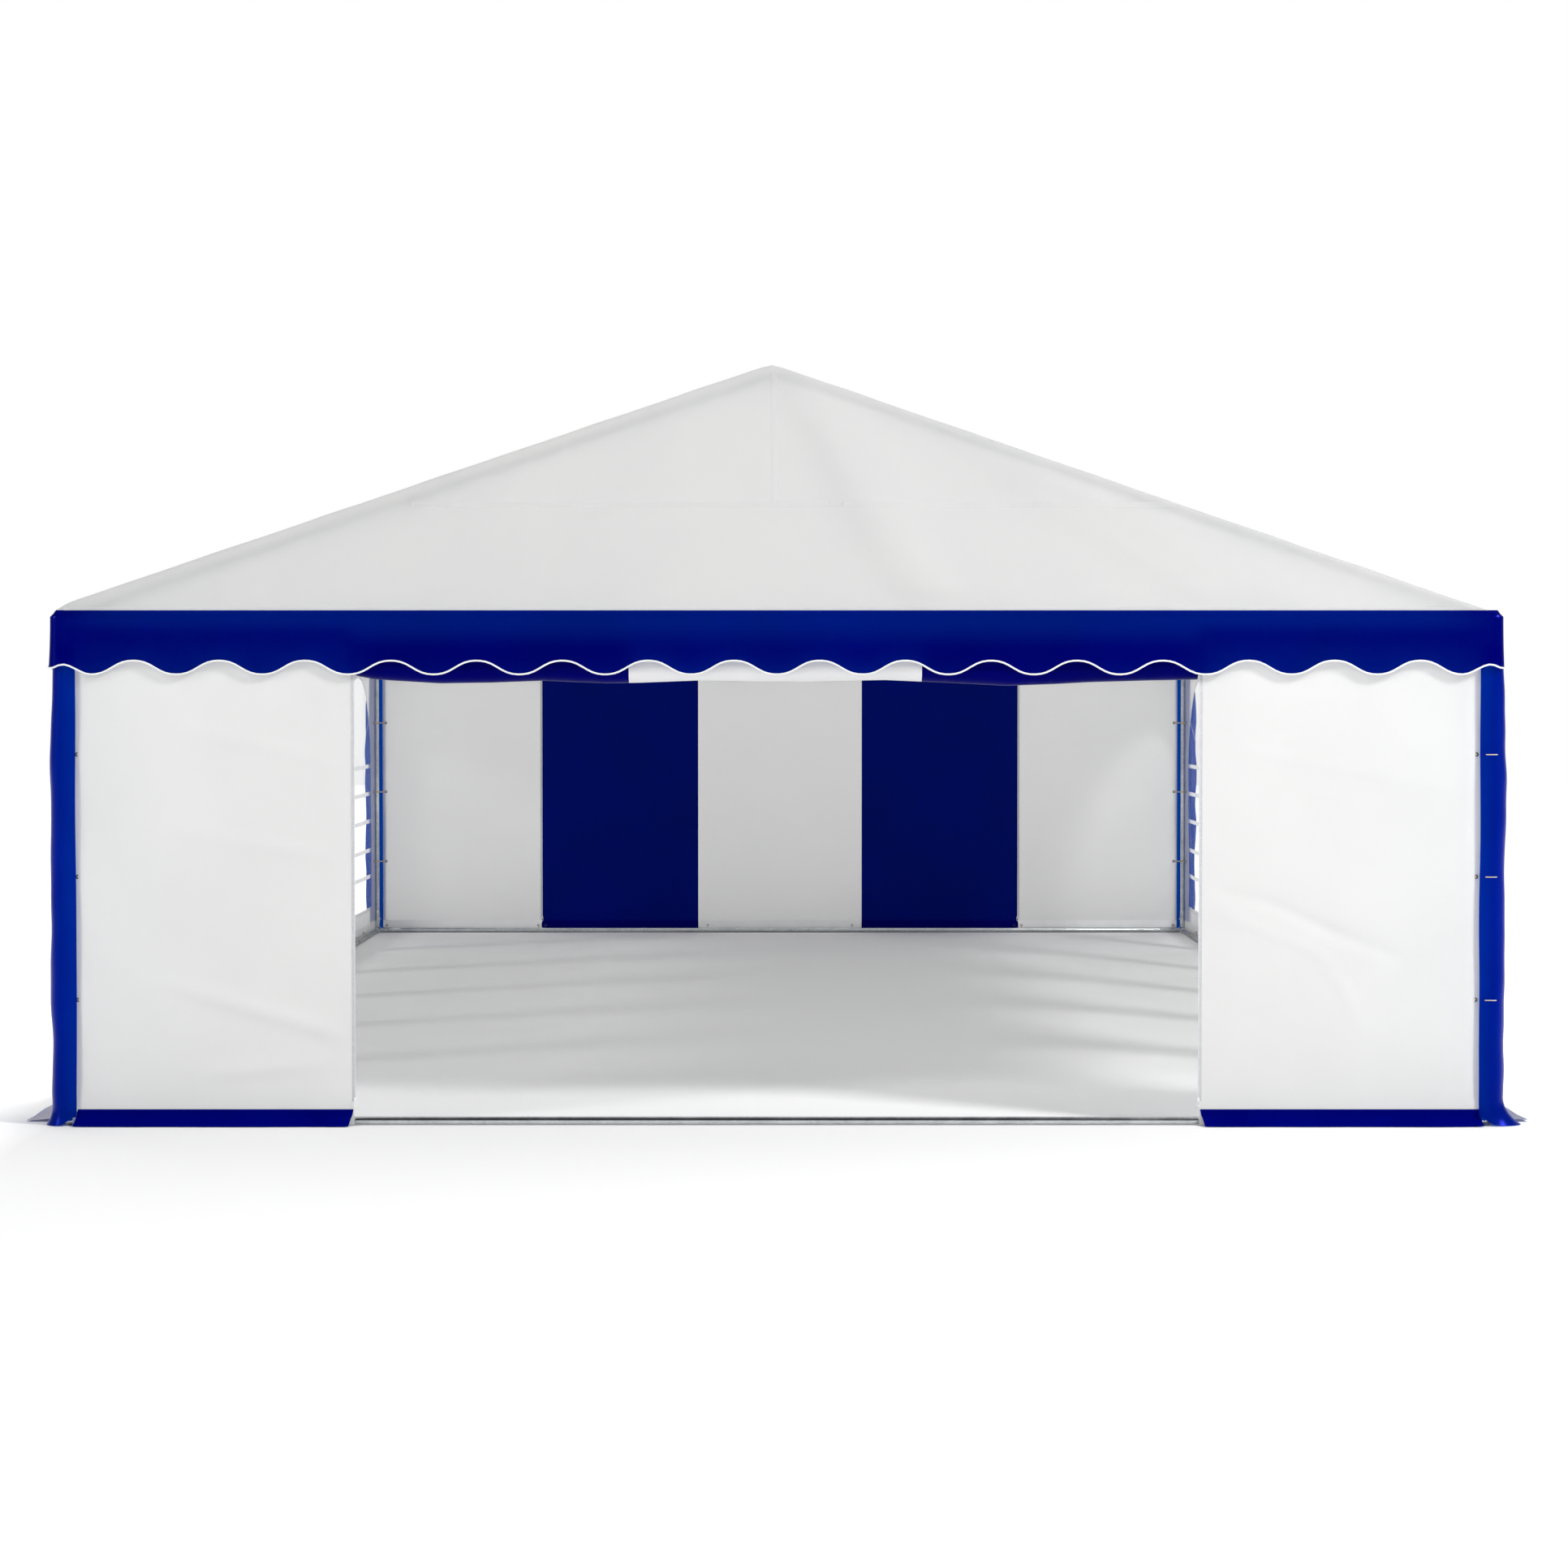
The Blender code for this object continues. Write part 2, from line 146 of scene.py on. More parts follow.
def tarpaulinMaterial(name, kind):
    # PVC-coated polyester: smooth plastic skin on a plain weave. The eye sees a soft, even gloss, a faint
    # grid of threads close up, slow shifts of tone, and some daylight through the cloth.
    bright, dull, through, passes, roughness, specular, tint = tarpaulin[kind]
    material, tree = startMaterial(name)
    place = addNode(tree, "ShaderNodeUVMap", uv_map="UVMap").outputs["UV"]
    tone = addNode(tree, "ShaderNodeTexNoise", {"Scale": tarpaulin["toneSize"], "Detail": 4.0},
                   {"Vector": place})
    colour = rampBetween(tree, tone.outputs["Fac"], toLinear(dull), toLinear(bright))
    rub = addNode(tree, "ShaderNodeTexNoise", {"Scale": tarpaulin["rubSize"], "Detail": 5.0},
                  {"Vector": place})
    gloss = addNode(tree, "ShaderNodeMapRange", {"To Min": roughness - 0.04, "To Max": roughness + 0.06},
                    {"Value": rub.outputs["Fac"]})
    bump = clothBump(tree, place)
    skin = addNode(tree, "ShaderNodeBsdfPrincipled",
                   {"IOR": 1.5, "Specular IOR Level": specular, "Specular Tint": toLinear(tint)},
                   {"Base Color": colour.outputs[0], "Roughness": gloss.outputs[0],
                    "Normal": bump.outputs[0]})
    glow = addNode(tree, "ShaderNodeBsdfTranslucent", {"Color": toLinear(through)},
                   {"Normal": bump.outputs[0]})
    mix = addNode(tree, "ShaderNodeMixShader", {0: passes}, {1: skin.outputs[0], 2: glow.outputs[0]})
    addNode(tree, "ShaderNodeOutputMaterial", links={"Surface": mix.outputs[0]})
    return material


def plainMaterial(name, low, high, scaleMm, roughness, metallic=0.0, bumpMm=0.0, stretch=(1, 1, 1)):
    # One finish with a little unevenness of tone, for the small parts
    material, tree = startMaterial(name)
    place = addNode(tree, "ShaderNodeTexCoord").outputs["Object"]
    turned = addNode(tree, "ShaderNodeMapping", {"Scale": stretch}, {"Vector": place})
    grain = addNode(tree, "ShaderNodeTexNoise", {"Scale": 1000 / scaleMm, "Detail": 4.0},
                    {"Vector": turned.outputs[0]})
    colour = rampBetween(tree, grain.outputs["Fac"], toLinear(low), toLinear(high))
    gloss = addNode(tree, "ShaderNodeMapRange", {"To Min": roughness - 0.06, "To Max": roughness + 0.08},
                    {"Value": grain.outputs["Fac"]})
    bump = addNode(tree, "ShaderNodeBump", {"Strength": 0.5, "Distance": 0.001 * bumpMm},
                   {"Height": grain.outputs["Fac"]})
    shader = addNode(tree, "ShaderNodeBsdfPrincipled", {"Metallic": metallic},
                     {"Base Color": colour.outputs[0], "Roughness": gloss.outputs[0],
                      "Normal": bump.outputs[0]})
    addNode(tree, "ShaderNodeOutputMaterial", links={"Surface": shader.outputs[0]})
    return material


def galvanisedSteel():
    # Steel tube dipped in zinc: crystals of zinc a centimetre or two across, each a slightly other grey,
    # under a satin gloss
    material, tree = startMaterial("galvanisedSteel")
    place = addNode(tree, "ShaderNodeTexCoord").outputs["Object"]
    crystals = addNode(tree, "ShaderNodeTexVoronoi", {"Scale": 1000 / 14, "Randomness": 1.0},
                       {"Vector": place}, feature="F1")
    blotches = addNode(tree, "ShaderNodeTexNoise", {"Scale": 1000 / 90, "Detail": 5.0}, {"Vector": place})
    mixed = addNode(tree, "ShaderNodeMath", {1: 0.5},
                    {0: crystals.outputs["Color"], 2: blotches.outputs["Fac"]}, operation="MULTIPLY_ADD")
    colour = rampBetween(tree, mixed.outputs[0], toLinear("#b4b8bc"), toLinear("#d6d9db"), 0.3, 1.2)
    gloss = addNode(tree, "ShaderNodeMapRange", {"To Min": 0.14, "To Max": 0.26},
                    {"Value": blotches.outputs["Fac"]})
    bump = addNode(tree, "ShaderNodeBump", {"Strength": 0.3, "Distance": 0.0003},
                   {"Height": blotches.outputs["Fac"]})
    shader = addNode(tree, "ShaderNodeBsdfPrincipled", {"Metallic": 1.0},
                     {"Base Color": colour.outputs[0], "Roughness": gloss.outputs[0],
                      "Normal": bump.outputs[0]})
    addNode(tree, "ShaderNodeOutputMaterial", links={"Surface": shader.outputs[0]})
    return material


def clearFilm():
    # Soft PVC window film: almost colourless, a little hazy, with a wet gloss and slow ripples
    material, tree = startMaterial("clearFilm")
    place = addNode(tree, "ShaderNodeUVMap", uv_map="UVMap").outputs["UV"]
    ripple = addNode(tree, "ShaderNodeTexNoise", {"Scale": 5.0, "Detail": 2.0}, {"Vector": place})
    tone = rampBetween(tree, ripple.outputs["Fac"], toLinear("#e6ebee"), toLinear("#f3f6f7"))
    bump = addNode(tree, "ShaderNodeBump", {"Strength": 0.5, "Distance": 0.006},
                   {"Height": ripple.outputs["Fac"]})
    shader = addNode(tree, "ShaderNodeBsdfPrincipled", {"Roughness": 0.08, "IOR": 1.4, "Alpha": 0.22},
                     {"Base Color": tone.outputs[0], "Normal": bump.outputs[0]})
    addNode(tree, "ShaderNodeOutputMaterial", links={"Surface": shader.outputs[0]})
    return material


whiteCloth = tarpaulinMaterial("whiteTarpaulin", "roofWhite")
# Painted light: the walls' white is the roof's cloth made lighter, for the extra light that falls on them
wallClothPaintedLight = tarpaulinMaterial("whiteWallTarpaulinPaintedLight", "wallWhitePaintedLight")      # lighter than the roof's cloth
blueCloth = tarpaulinMaterial("blueTarpaulin", "valanceBlue")
glazingStrip = tarpaulinMaterial("glazingBarStrip", "glazingWhite")
# Painted light: the covers' blue is lighter than the valance's, for the light they catch
blueCoverPaintedLight = tarpaulinMaterial("blueCoverTarpaulinPaintedLight", "coverBluePaintedLight")
blueFlap = tarpaulinMaterial("blueFlapTarpaulin", "flapBlue")         # scuffed dull
# The doors are of a heavier cloth, which lets hardly any light through. The white one, on the rolled front
# door, is also made extra light: painted light that lifts the roll out of the valance's shade.
blueDoor = tarpaulinMaterial("blueDoorTarpaulin", "doorBlue")
whiteDoorPaintedLight = tarpaulinMaterial("whiteDoorTarpaulinPaintedLight", "doorWhitePaintedLight")
# Welded laps are thin, so they stay nearly as light as the single cloth
seamCloth = tarpaulinMaterial("whiteSeamTarpaulin", "seamWhite")
film = clearFilm()
steel = galvanisedSteel()
# PVC hem bands and binding: plain white strip, calendered, so evenly smooth. The hem bands' white is lifted
# to near pure white, painted light against the shade at the foot of the walls; the binding's white is greyed,
# painted shade.
hemStripPaintedLight = plainMaterial("whiteHemStripPaintedLight", "#f7f7f7", "#fcfcfc", 60, 0.5, bumpMm=0.05)
whiteStripPaintedShade = plainMaterial("whitePvcStripPaintedShade", "#e6e7e8", "#eeefef", 60, 0.4, bumpMm=0.05)
greyStrip = plainMaterial("zipTape", "#bcbec2", "#c9cbce", 8, 0.7, bumpMm=0.1)
darkSteel = plainMaterial("darkenedSteelEyelet", "#3a3d40", "#5b5f63", 6, 0.35, metallic=1.0, bumpMm=0.02)
# Elastic cord: rubber core in a braided cream sleeve, matt
cordSleeve = plainMaterial("braidedElastic", "#bcae98", "#d6cab6", 3, 0.8, bumpMm=0.4, stretch=(1, 1, 3))
print("materials ready")


# Tools that several pieces use

def startPiece():
    if bpy.context.object and bpy.context.object.mode != "OBJECT":
        bpy.ops.object.mode_set(mode="OBJECT")
    bpy.ops.object.select_all(action="DESELECT")


def selectOnly(*pieces):
    startPiece()
    for piece in pieces:
        piece.select_set(True)
    bpy.context.view_layer.objects.active = pieces[0]


def joinParts(parts):
    selectOnly(*parts)
    bpy.ops.object.join()
    return bpy.context.object


def finishPiece(piece, name, materials, nodes=()):
    # Applies what was moved, names the piece and hands it to the frame
    piece.name = name
    piece.data.name = name
    selectOnly(piece)
    bpy.ops.object.transform_apply(location=True, rotation=True, scale=True)
    piece.data.materials.clear()
    for material in materials:
        piece.data.materials.append(material)
    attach(piece, "root")
    if nodes:
        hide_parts(*nodes)
    return piece


def readArray(collection, key, width):
    values = np.empty(len(collection) * width)
    collection.foreach_get(key, values)
    return values.reshape(-1, width)


def drapeGrid(columns, rows, drape):
    # A flat grid whose points are then moved, as with a sculpting brush: drape(u, v) gives
    # where each point hangs and its place on the flat cloth in metres, for the weave.
    startPiece()
    bpy.ops.mesh.primitive_grid_add(x_subdivisions=columns, y_subdivisions=rows, size=1)
    sheet = bpy.context.object
    flat = readArray(sheet.data.vertices, "co", 3)
    x, y, z, across, down = drape(flat[:, 0] + 0.5, flat[:, 1] + 0.5)
    places = np.stack(np.broadcast_arrays(x, y, z), axis=1)
    sheet.data.vertices.foreach_set("co", places.ravel())
    corners = np.empty(len(sheet.data.loops), dtype=np.int32)
    sheet.data.loops.foreach_get("vertex_index", corners)
    onCloth = np.stack(np.broadcast_arrays(across, down), axis=1)
    sheet.data.uv_layers[0].data.foreach_set("uv", onCloth[corners].ravel())
    sheet.data.update()
    return sheet


def faceOut(sheet, outward):
    # Turns a sheet over if most of it looks the wrong way; outward(centre) is the way it should look
    normals = readArray(sheet.data.polygons, "normal", 3)
    centres = readArray(sheet.data.polygons, "center", 3)
    if (normals * outward(centres)).sum() < 0:
        sheet.data.flip_normals()


def fromMiddle(centres):
    return centres - np.array([0.0, 0.0, 1.0])


def mergeDoubles(piece, distance=0.00005):
    selectOnly(piece)
    bpy.ops.object.mode_set(mode="EDIT")
    bpy.ops.mesh.select_all(action="SELECT")
    bpy.ops.mesh.remove_doubles(threshold=distance)
    bpy.ops.object.mode_set(mode="OBJECT")


def softNoise(a, b, size, seed, waves=7):
    # Slow unevenness about size metres long, between about -1 and 1
    draws = np.random.default_rng(seed)
    total = 0.0
    for _ in range(waves):
        turn = draws.uniform(0, tau)
        step = tau / (size * draws.uniform(0.7, 1.5))
        total = total + np.sin((a * math.cos(turn) + b * math.sin(turn)) * step + draws.uniform(0, tau))
    return total / math.sqrt(waves) * 0.7


def smooth(value, low, high):
    part = np.clip((value - low) / (high - low), 0, 1)
    return part * part * (3 - 2 * part)


def wallRise(v):
    return tent["wallFoot"] + (tent["wallTop"] - tent["wallFoot"]) * v


def outAlongX(sign):
    # The way that a side wall looks
    return lambda centres: np.tile([sign, 0.0, 0.0], (len(centres), 1))


def foldLines(a, b, folds, lean=1.0):
    # Height of folds in a hung cloth; each fold runs from one point to another and dies out at its ends.
    # lean makes the flank on the right of a fold that runs downwards wider than the left one.
    height = 0.0
    for startA, startB, stopA, stopB, width, depth in folds:
        runA, runB = stopA - startA, stopB - startB
        length = math.hypot(runA, runB)
        along = ((a - startA) * runA + (b - startB) * runB) / length
        aside = ((a - startA) * -runB + (b - startB) * runA) / length
        fade = smooth(along, -0.35 * length, 0.25 * length)
        fade = fade * (1 - smooth(along, 0.75 * length, 1.35 * length))
        reach = np.where(aside > 0, width * lean, width)
        height = height + depth * fade * np.exp(-(aside / reach) ** 2)
    return height


def stripBetween(name, columns, rows, drape, materials, outward=fromMiddle, nodes=()):
    strip = drapeGrid(columns, rows, drape)
    faceOut(strip, outward)
    strip.data.shade_smooth()
    return finishPiece(strip, name, materials, nodes)


def tubeAlong(name, points, radius, material, nodes=(), closed=False, roundness=1):
    # A curve with a round bevel, made a mesh
    curve = bpy.data.curves.new(name, "CURVE")
    curve.dimensions = "3D"
    curve.bevel_depth = radius
    curve.bevel_resolution = roundness
    curve.use_fill_caps = not closed
    spline = curve.splines.new("POLY")
    spline.points.add(len(points) - 1)
    for point, place in zip(spline.points, points):
        point.co = (*place, 1.0)
    spline.use_cyclic_u = closed
    tube = bpy.data.objects.new(name, curve)
    bpy.context.collection.objects.link(tube)
    selectOnly(tube)
    bpy.ops.object.convert(target="MESH")
    tube = bpy.context.object
    tube.data.shade_smooth()
    return finishPiece(tube, name, [material], nodes)


# Camera, lights and floor

studio = {
    "camera": (0.030, -21.37, 1.836), "pitch": 90 - 1.566, "lens": 85.55,
    # Lamp boxes: place, aim, width and height, power. The key hangs high in front to the right, so that
    # the valance's shadow falls to the left; one behind lights the far floor; a tall one on the left
    # draws an upright shine on the rounded corner.
    "boxes": (((12.1, -14.3, 12.5), (0.0, -6.0, 1.5), (3.4, 3.4), 2300),
              ((0.0, 17.0, 11.0), (0.0, 13.0, 0.0), (34.0, 8.0), 300),
              ((-11.0, -13.0, 3.8), (-2.8, -6.0, 1.8), (4.0, 6.5), 130)),
    # Wide soft light from far off: way to it, strength and softness
    "suns": (((-0.68, -0.52, 0.50), 0.65, 12), ((0.1, 0.55, 0.83), 0.9, 60)),
    "sky": 0.41, "mirroredInFront": 0.05, "mirroredBehind": 0.9,
    # The floor glows out into white, painted light that hides the tent's shadow on it: where that starts
    # beside and behind the tent, over how far, how bright
    "floor": "#f1f1f1", "floorSide": 90, "beside": 3.0, "behind": 6.3, "runOut": 0.5, "glow": 0.5,
}


def makeStudio():
    startPiece()
    bpy.ops.object.camera_add(location=studio["camera"], rotation=(math.radians(studio["pitch"]), 0, 0))
    camera = bpy.context.object
    camera.data.lens = studio["lens"]
    camera.data.sensor_width = 36
    camera.data.clip_end = 600
    bpy.context.scene.camera = camera
    bpy.context.scene.view_settings.view_transform = "Standard"
    for place, aim, size, power in studio["boxes"]:
        way = Vector(aim) - Vector(place)
        bpy.ops.object.light_add(type="AREA", location=place,
                                 rotation=way.to_track_quat("-Z", "Y").to_euler())
        box = bpy.context.object
        box.data.shape = "RECTANGLE"
        box.data.size, box.data.size_y = size
        box.data.energy = power
    for way, strength, softness in studio["suns"]:
        bpy.ops.object.light_add(type="SUN", location=Vector(way) * 18,
                                 rotation=Vector(way).to_track_quat("Z", "Y").to_euler())
        lamp = bpy.context.object.data
        lamp.energy = strength
        lamp.angle = math.radians(softness)
    world = bpy.data.worlds.new("studioSky")
    bpy.context.scene.world = world
    world.use_nodes = True
    tree = world.node_tree
    tree.nodes.clear()
    # White behind the tent and a dimmer sky on it. Gloss mirrors a dark studio in front and above and
    # the white one behind, so that plastic and steel keep deep tones and shine at their edges.
    lookAlong = addNode(tree, "ShaderNodeTexCoord")
    way = addNode(tree, "ShaderNodeSeparateXYZ", links={0: lookAlong.outputs["Generated"]})
    shade = addNode(tree, "ShaderNodeMapRange",
                    {"From Min": 0.2, "From Max": 0.8, "To Min": studio["mirroredInFront"],
                     "To Max": studio["mirroredBehind"]}, {"Value": way.outputs["Y"]})
    light, behind, mirrored = (
        addNode(tree, "ShaderNodeBackground", {"Color": (1, 1, 1, 1), "Strength": strength})
        for strength in (studio["sky"], 1.0, 1.0))
    tree.links.new(shade.outputs[0], mirrored.inputs["Strength"])
    seen = addNode(tree, "ShaderNodeLightPath")
    gloss = addNode(tree, "ShaderNodeMixShader",
                    links={0: seen.outputs["Is Glossy Ray"], 1: light.outputs[0], 2: mirrored.outputs[0]})
    mix = addNode(tree, "ShaderNodeMixShader",
                  links={0: seen.outputs["Is Camera Ray"], 1: gloss.outputs[0], 2: behind.outputs[0]})
    addNode(tree, "ShaderNodeOutputWorld", links={"Surface": mix.outputs[0]})


def makeFloor():
    startPiece()
    bpy.ops.mesh.primitive_plane_add(size=studio["floorSide"], location=(0, 0, -0.0005))
    floor = bpy.context.object
    floor.name = "studioFloor"
    material, tree = startMaterial("studioFloor")
    # Plain board which glows further away from the tent, painted light that hides the tent's shadow there, so
    # that it runs out into the white behind
    onFloor = addNode(tree, "ShaderNodeTexCoord")
    place = addNode(tree, "ShaderNodeSeparateXYZ", links={0: onFloor.outputs["Object"]})
    sideways = addNode(tree, "ShaderNodeMath", links={0: place.outputs["X"]}, operation="ABSOLUTE")
    beside, behind = (
        addNode(tree, "ShaderNodeMath", {1: studio[word]}, {0: distance}, operation="SUBTRACT")
        for word, distance in (("beside", sideways.outputs[0]), ("behind", place.outputs["Y"])))
    away = addNode(tree, "ShaderNodeMath", links={0: beside.outputs[0], 1: behind.outputs[0]},
                   operation="MAXIMUM")
    glow = addNode(tree, "ShaderNodeMapRange",
                   {"From Min": 0.0, "From Max": studio["runOut"], "To Min": 0.0, "To Max": studio["glow"]},
                   {"Value": away.outputs[0]})
    paint = addNode(tree, "ShaderNodeBsdfPrincipled",
                    {"Base Color": toLinear(studio["floor"]), "Roughness": 0.9, "Specular IOR Level": 0.0,
                     "Emission Color": (1, 1, 1, 1)}, {"Emission Strength": glow.outputs[0]})
    addNode(tree, "ShaderNodeOutputMaterial", links={"Surface": paint.outputs[0]})
    floor.data.materials.append(material)


makeStudio()
makeFloor()
print("studio ready")


# Frame of tubes, with the sleeves of its connectors and their screws

tube = {
    "radius": 0.019, "sleeve": 0.0205, "sleeveLength": 0.12, "ground": 0.016, "foot": 0.019,
    "footLength": 0.15, "purlinSleeve": 0.08, "sides": 32, "edge": 0.0009,
    "screw": 0.0065, "screwHead": 0.005, "washer": 0.009, "washerHeight": 0.0025, "purlinX": 1.5,
    # Set a little low, so that the cover lies clear of them
    "rafterDrop": 0.026, "ridgeDrop": 0.004, "eavesDrop": 0.012,
    "pastLastLeg": 0.006,       # the long bars end short of the cloth at the gables
}


def roundBar(start, end, radius, sides):
    way = Vector(end) - Vector(start)
    bpy.ops.mesh.primitive_cylinder_add(vertices=sides, radius=radius, depth=way.length,
                                        location=(Vector(start) + Vector(end)) / 2,
                                        rotation=way.to_track_quat("Z", "Y").to_euler())
    return bpy.context.object


def softenEdges(piece, width):
    bpy.context.view_layer.objects.active = piece
    bevel = piece.modifiers.new("edges", "BEVEL")
    bevel.width = width
    bevel.segments = 2
    bevel.limit_method = "ANGLE"
    bevel.angle_limit = math.radians(50)
    bpy.ops.object.modifier_apply(modifier=bevel.name)
    bpy.ops.object.shade_smooth_by_angle(angle=math.radians(40))


def tubeWithSleeves(name, start, end, radius, sleeves, sleeveRadius, screwWay, nodes):
    # sleeves are stretches in metres from the start; a hexagon screw on a washer holds each
    startPiece()
    start, end, screwWay = Vector(start), Vector(end), Vector(screwWay)
    along = (end - start).normalized()
    parts = [roundBar(start, end, radius, tube["sides"])]
    for low, high in sleeves:
        parts.append(roundBar(start + along * low, start + along * high, sleeveRadius, tube["sides"]))
        seat = start + along * (low + high) / 2 + screwWay * (sleeveRadius - 0.001)
        top = tube["washerHeight"] + tube["screwHead"]
        parts.append(roundBar(seat, seat + screwWay * tube["washerHeight"], tube["washer"], 20))
        parts.append(roundBar(seat, seat + screwWay * top, tube["screw"], 6))
    whole = joinParts(parts)
    softenEdges(whole, tube["edge"])
    return finishPiece(whole, name, [steel], nodes)


def copyPiece(original, name, shift, nodes, halfTurn=False):
    selectOnly(original)
    bpy.ops.object.duplicate()
    copy = bpy.context.object
    for note in list(copy.keys()):                    # a copy stands for its own node only
        del copy[note]
    copy.location = shift
    copy.rotation_euler.z = math.pi if halfTurn else 0.0
    return finishPiece(copy, name, [steel], nodes)


def middleHeight(node):
    return sum(corner.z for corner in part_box(node)) / 2


def sleevesOver(places, length, whole):
    return [(max(place - length / 2, 0.0), min(place + length / 2, whole)) for place in places]


def makeFrames(lowZ, topZ):
    # Seven frames, each of two legs and two rafters
    legX, legY = tent["legX"], tent["legY"]
    lowLeg, highLeg = (corner.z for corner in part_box("leg_right_1"))
    high, sleeve = highLeg - lowLeg, tube["sleeveLength"]
    leg = tubeWithSleeves("leg_right_1_round", (legX, -legY, lowLeg), (legX, -legY, highLeg), tube["radius"],
                          [(0, sleeve), (high - sleeve, high)], tube["sleeve"], (-1, 0, 0), ["leg_right_1"])
    slope = Vector((-legX, 0, topZ - lowZ)).normalized()
    clear = slope * (tube["radius"] + 0.0015)
    low, top = Vector((legX, -legY, lowZ)) + clear, Vector((0, -legY, topZ)) - clear
    length = (top - low).length
    middle, short = length * (1 - tube["purlinX"] / legX), tube["purlinSleeve"] / 2
    rafter = tubeWithSleeves("rafter_right_1_round", low, top, tube["radius"],
                             [(0, sleeve), (middle - short, middle + short), (length - sleeve, length)],
                             tube["sleeve"], (-slope.z, 0, slope.x), ["rafter_right_1"])
    for number in range(tent["bays"] + 1):
        # The left side is the right side turned half round
        near, far = Vector((0, bayLength * number, 0)), Vector((0, bayLength * number - 2 * legY, 0))
        for side, shift in (("right", near), ("left", far)):
            for word, first in (("leg", leg), ("rafter", rafter)):
                if number or side == "left":
                    name = f"{word}_{side}_{number + 1}"
                    copyPiece(first, f"{name}_round", shift, [name], halfTurn=side == "left")


def makeLongBars(topZ):
    legX, legY, eavesZ = tent["legX"], tent["legY"], middleHeight("eaves_bar_right")
    long = legY + tube["pastLastLeg"]
    frames = [bayLength * number + long - legY for number in range(tent["bays"] + 1)]
    feet = sleevesOver(frames, tube["footLength"], 2 * long)
    bars = [(f"eaves_bar_{side}", sign * legX, eavesZ - tube["eavesDrop"], tube["radius"], [], 0.0,
             (-sign, 0, 0)) for side, sign in sides]
    bars += [(f"ground_bar_{side}", sign * legX, tube["foot"], tube["ground"], feet, tube["foot"],
              (-sign, 0, 0)) for side, sign in sides]
    bars.append(("ridge_bar", 0.0, topZ, tube["radius"], [], 0.0, (0, 0, -1)))
    for name, x, z, radius, sleeves, sleeveRadius, way in bars:
        tubeWithSleeves(f"{name}_round", (x, -long, z), (x, long, z), radius, sleeves, sleeveRadius, way,
                        [name])


def makePurlins(lowZ, topZ):
    # Two purlins, under the middle of each slope, which the CAD leaves out
    legX, legY = tent["legX"], tent["legY"]
    z = lowZ + (topZ - lowZ) * (1 - tube["purlinX"] / legX) - tube["radius"] - tube["sleeve"]
    inner = [bayLength * number for number in range(1, tent["bays"])]
    for side, sign in sides:
        x = sign * tube["purlinX"]
        tubeWithSleeves(f"purlin_{side}", (x, -legY, z), (x, legY, z), tube["radius"],
                        sleevesOver(inner, tube["purlinSleeve"], 2 * legY), tube["sleeve"], (0, 0, -1), [])


def makeCrossBars():
    sleeve, foot, crossZ = tube["sleeveLength"], tube["foot"], middleHeight("crossbar_front")
    kinds = (("crossbar", crossZ, tube["radius"], tube["sleeve"], sleeve),
             ("ground_bar", foot, tube["ground"], foot, tube["footLength"]))
    for end, sign in ends:
        for word, z, radius, outer, stretch in kinds:
            reach, y = tent["legX"] - outer - 0.0003, sign * tent["legY"]
            tubeWithSleeves(f"{word}_{end}_round", (-reach, y, z), (reach, y, z), radius,
                            [(0, stretch), (2 * reach - stretch, 2 * reach)], outer, (0, -sign, 0),
                            [f"{word}_{end}"])


def makeFrame():
    lowZ = middleHeight("eaves_bar_right") - tube["rafterDrop"]
    topZ = middleHeight("ridge_bar") - tube["ridgeDrop"]
    makeFrames(lowZ, topZ)
    makeLongBars(topZ)
    makeCrossBars()
    makePurlins(lowZ, topZ)


makeFrame()
print("frame ready")


# Roof cover: one white sheet over both slopes and down both gables

roofCover = {
    "ridgeShift": -0.020, "ridgeTop": 3.148, "ridgeRound": 0.006,
    "edgeX": 2.972, "edgeY": 5.980, "edgeRound": 0.012,
    # The right slope is pulled down a little further than the left one, which bends over the eaves bar
    "fallLeft": 0.999, "fallRight": 1.028, "kneeAt": 0.966,
    "baySag": 0.016, "purlinX": 1.5,
    "columns": 180, "rowsPerBay": 14, "roundRows": 4, "gableRows": 34,
    # Flat size, and what one sheet of it uses
    "flat": (6.3, 14.0), "area": 6.27 * 11.96 + 2 * 2.972 * 1.0,
    # From and to, across and up, on the front gable, then width and depth of each fold
    "folds": [(0.130, 2.990, 0.590, 2.170, 0.085, -0.031), (0.48, 2.50, 0.68, 2.16, 0.035, -0.008),
              (0.900, 2.746, 1.830, 2.173, 0.080, -0.014), (1.10, 2.70, 2.05, 2.19, 0.05, -0.005),
              (-0.620, 2.528, -0.900, 2.193, 0.060, -0.005), (-1.55, 2.60, -2.00, 2.17, 0.10, -0.006),
              (-0.25, 3.02, -1.15, 2.30, 0.12, -0.005)],
}


def roofStations(u):
    # Closer together towards the eaves, where the cover bends
    middle = 2 * u - 1
    return 0.6 * np.sin(math.pi / 2 * middle) + 0.4 * middle


def roofHeight(s):
    # s is how far down the slope, from 0 at the ridge to -1 at the left eaves and 1 at the right ones
    part = np.abs(s)
    fall = np.where(s < 0, roofCover["fallLeft"], roofCover["fallRight"])
    straight = roofCover["ridgeTop"] - fall * np.sqrt(part ** 2 + roofCover["ridgeRound"] ** 2)
    over = np.maximum(roofCover["ridgeTop"] - fall - tent["eaves"], 0)
    knee = over * np.clip((part - roofCover["kneeAt"]) / (1 - roofCover["kneeAt"]), 0, 1) ** 3
    return np.maximum(straight - knee, tent["eaves"])


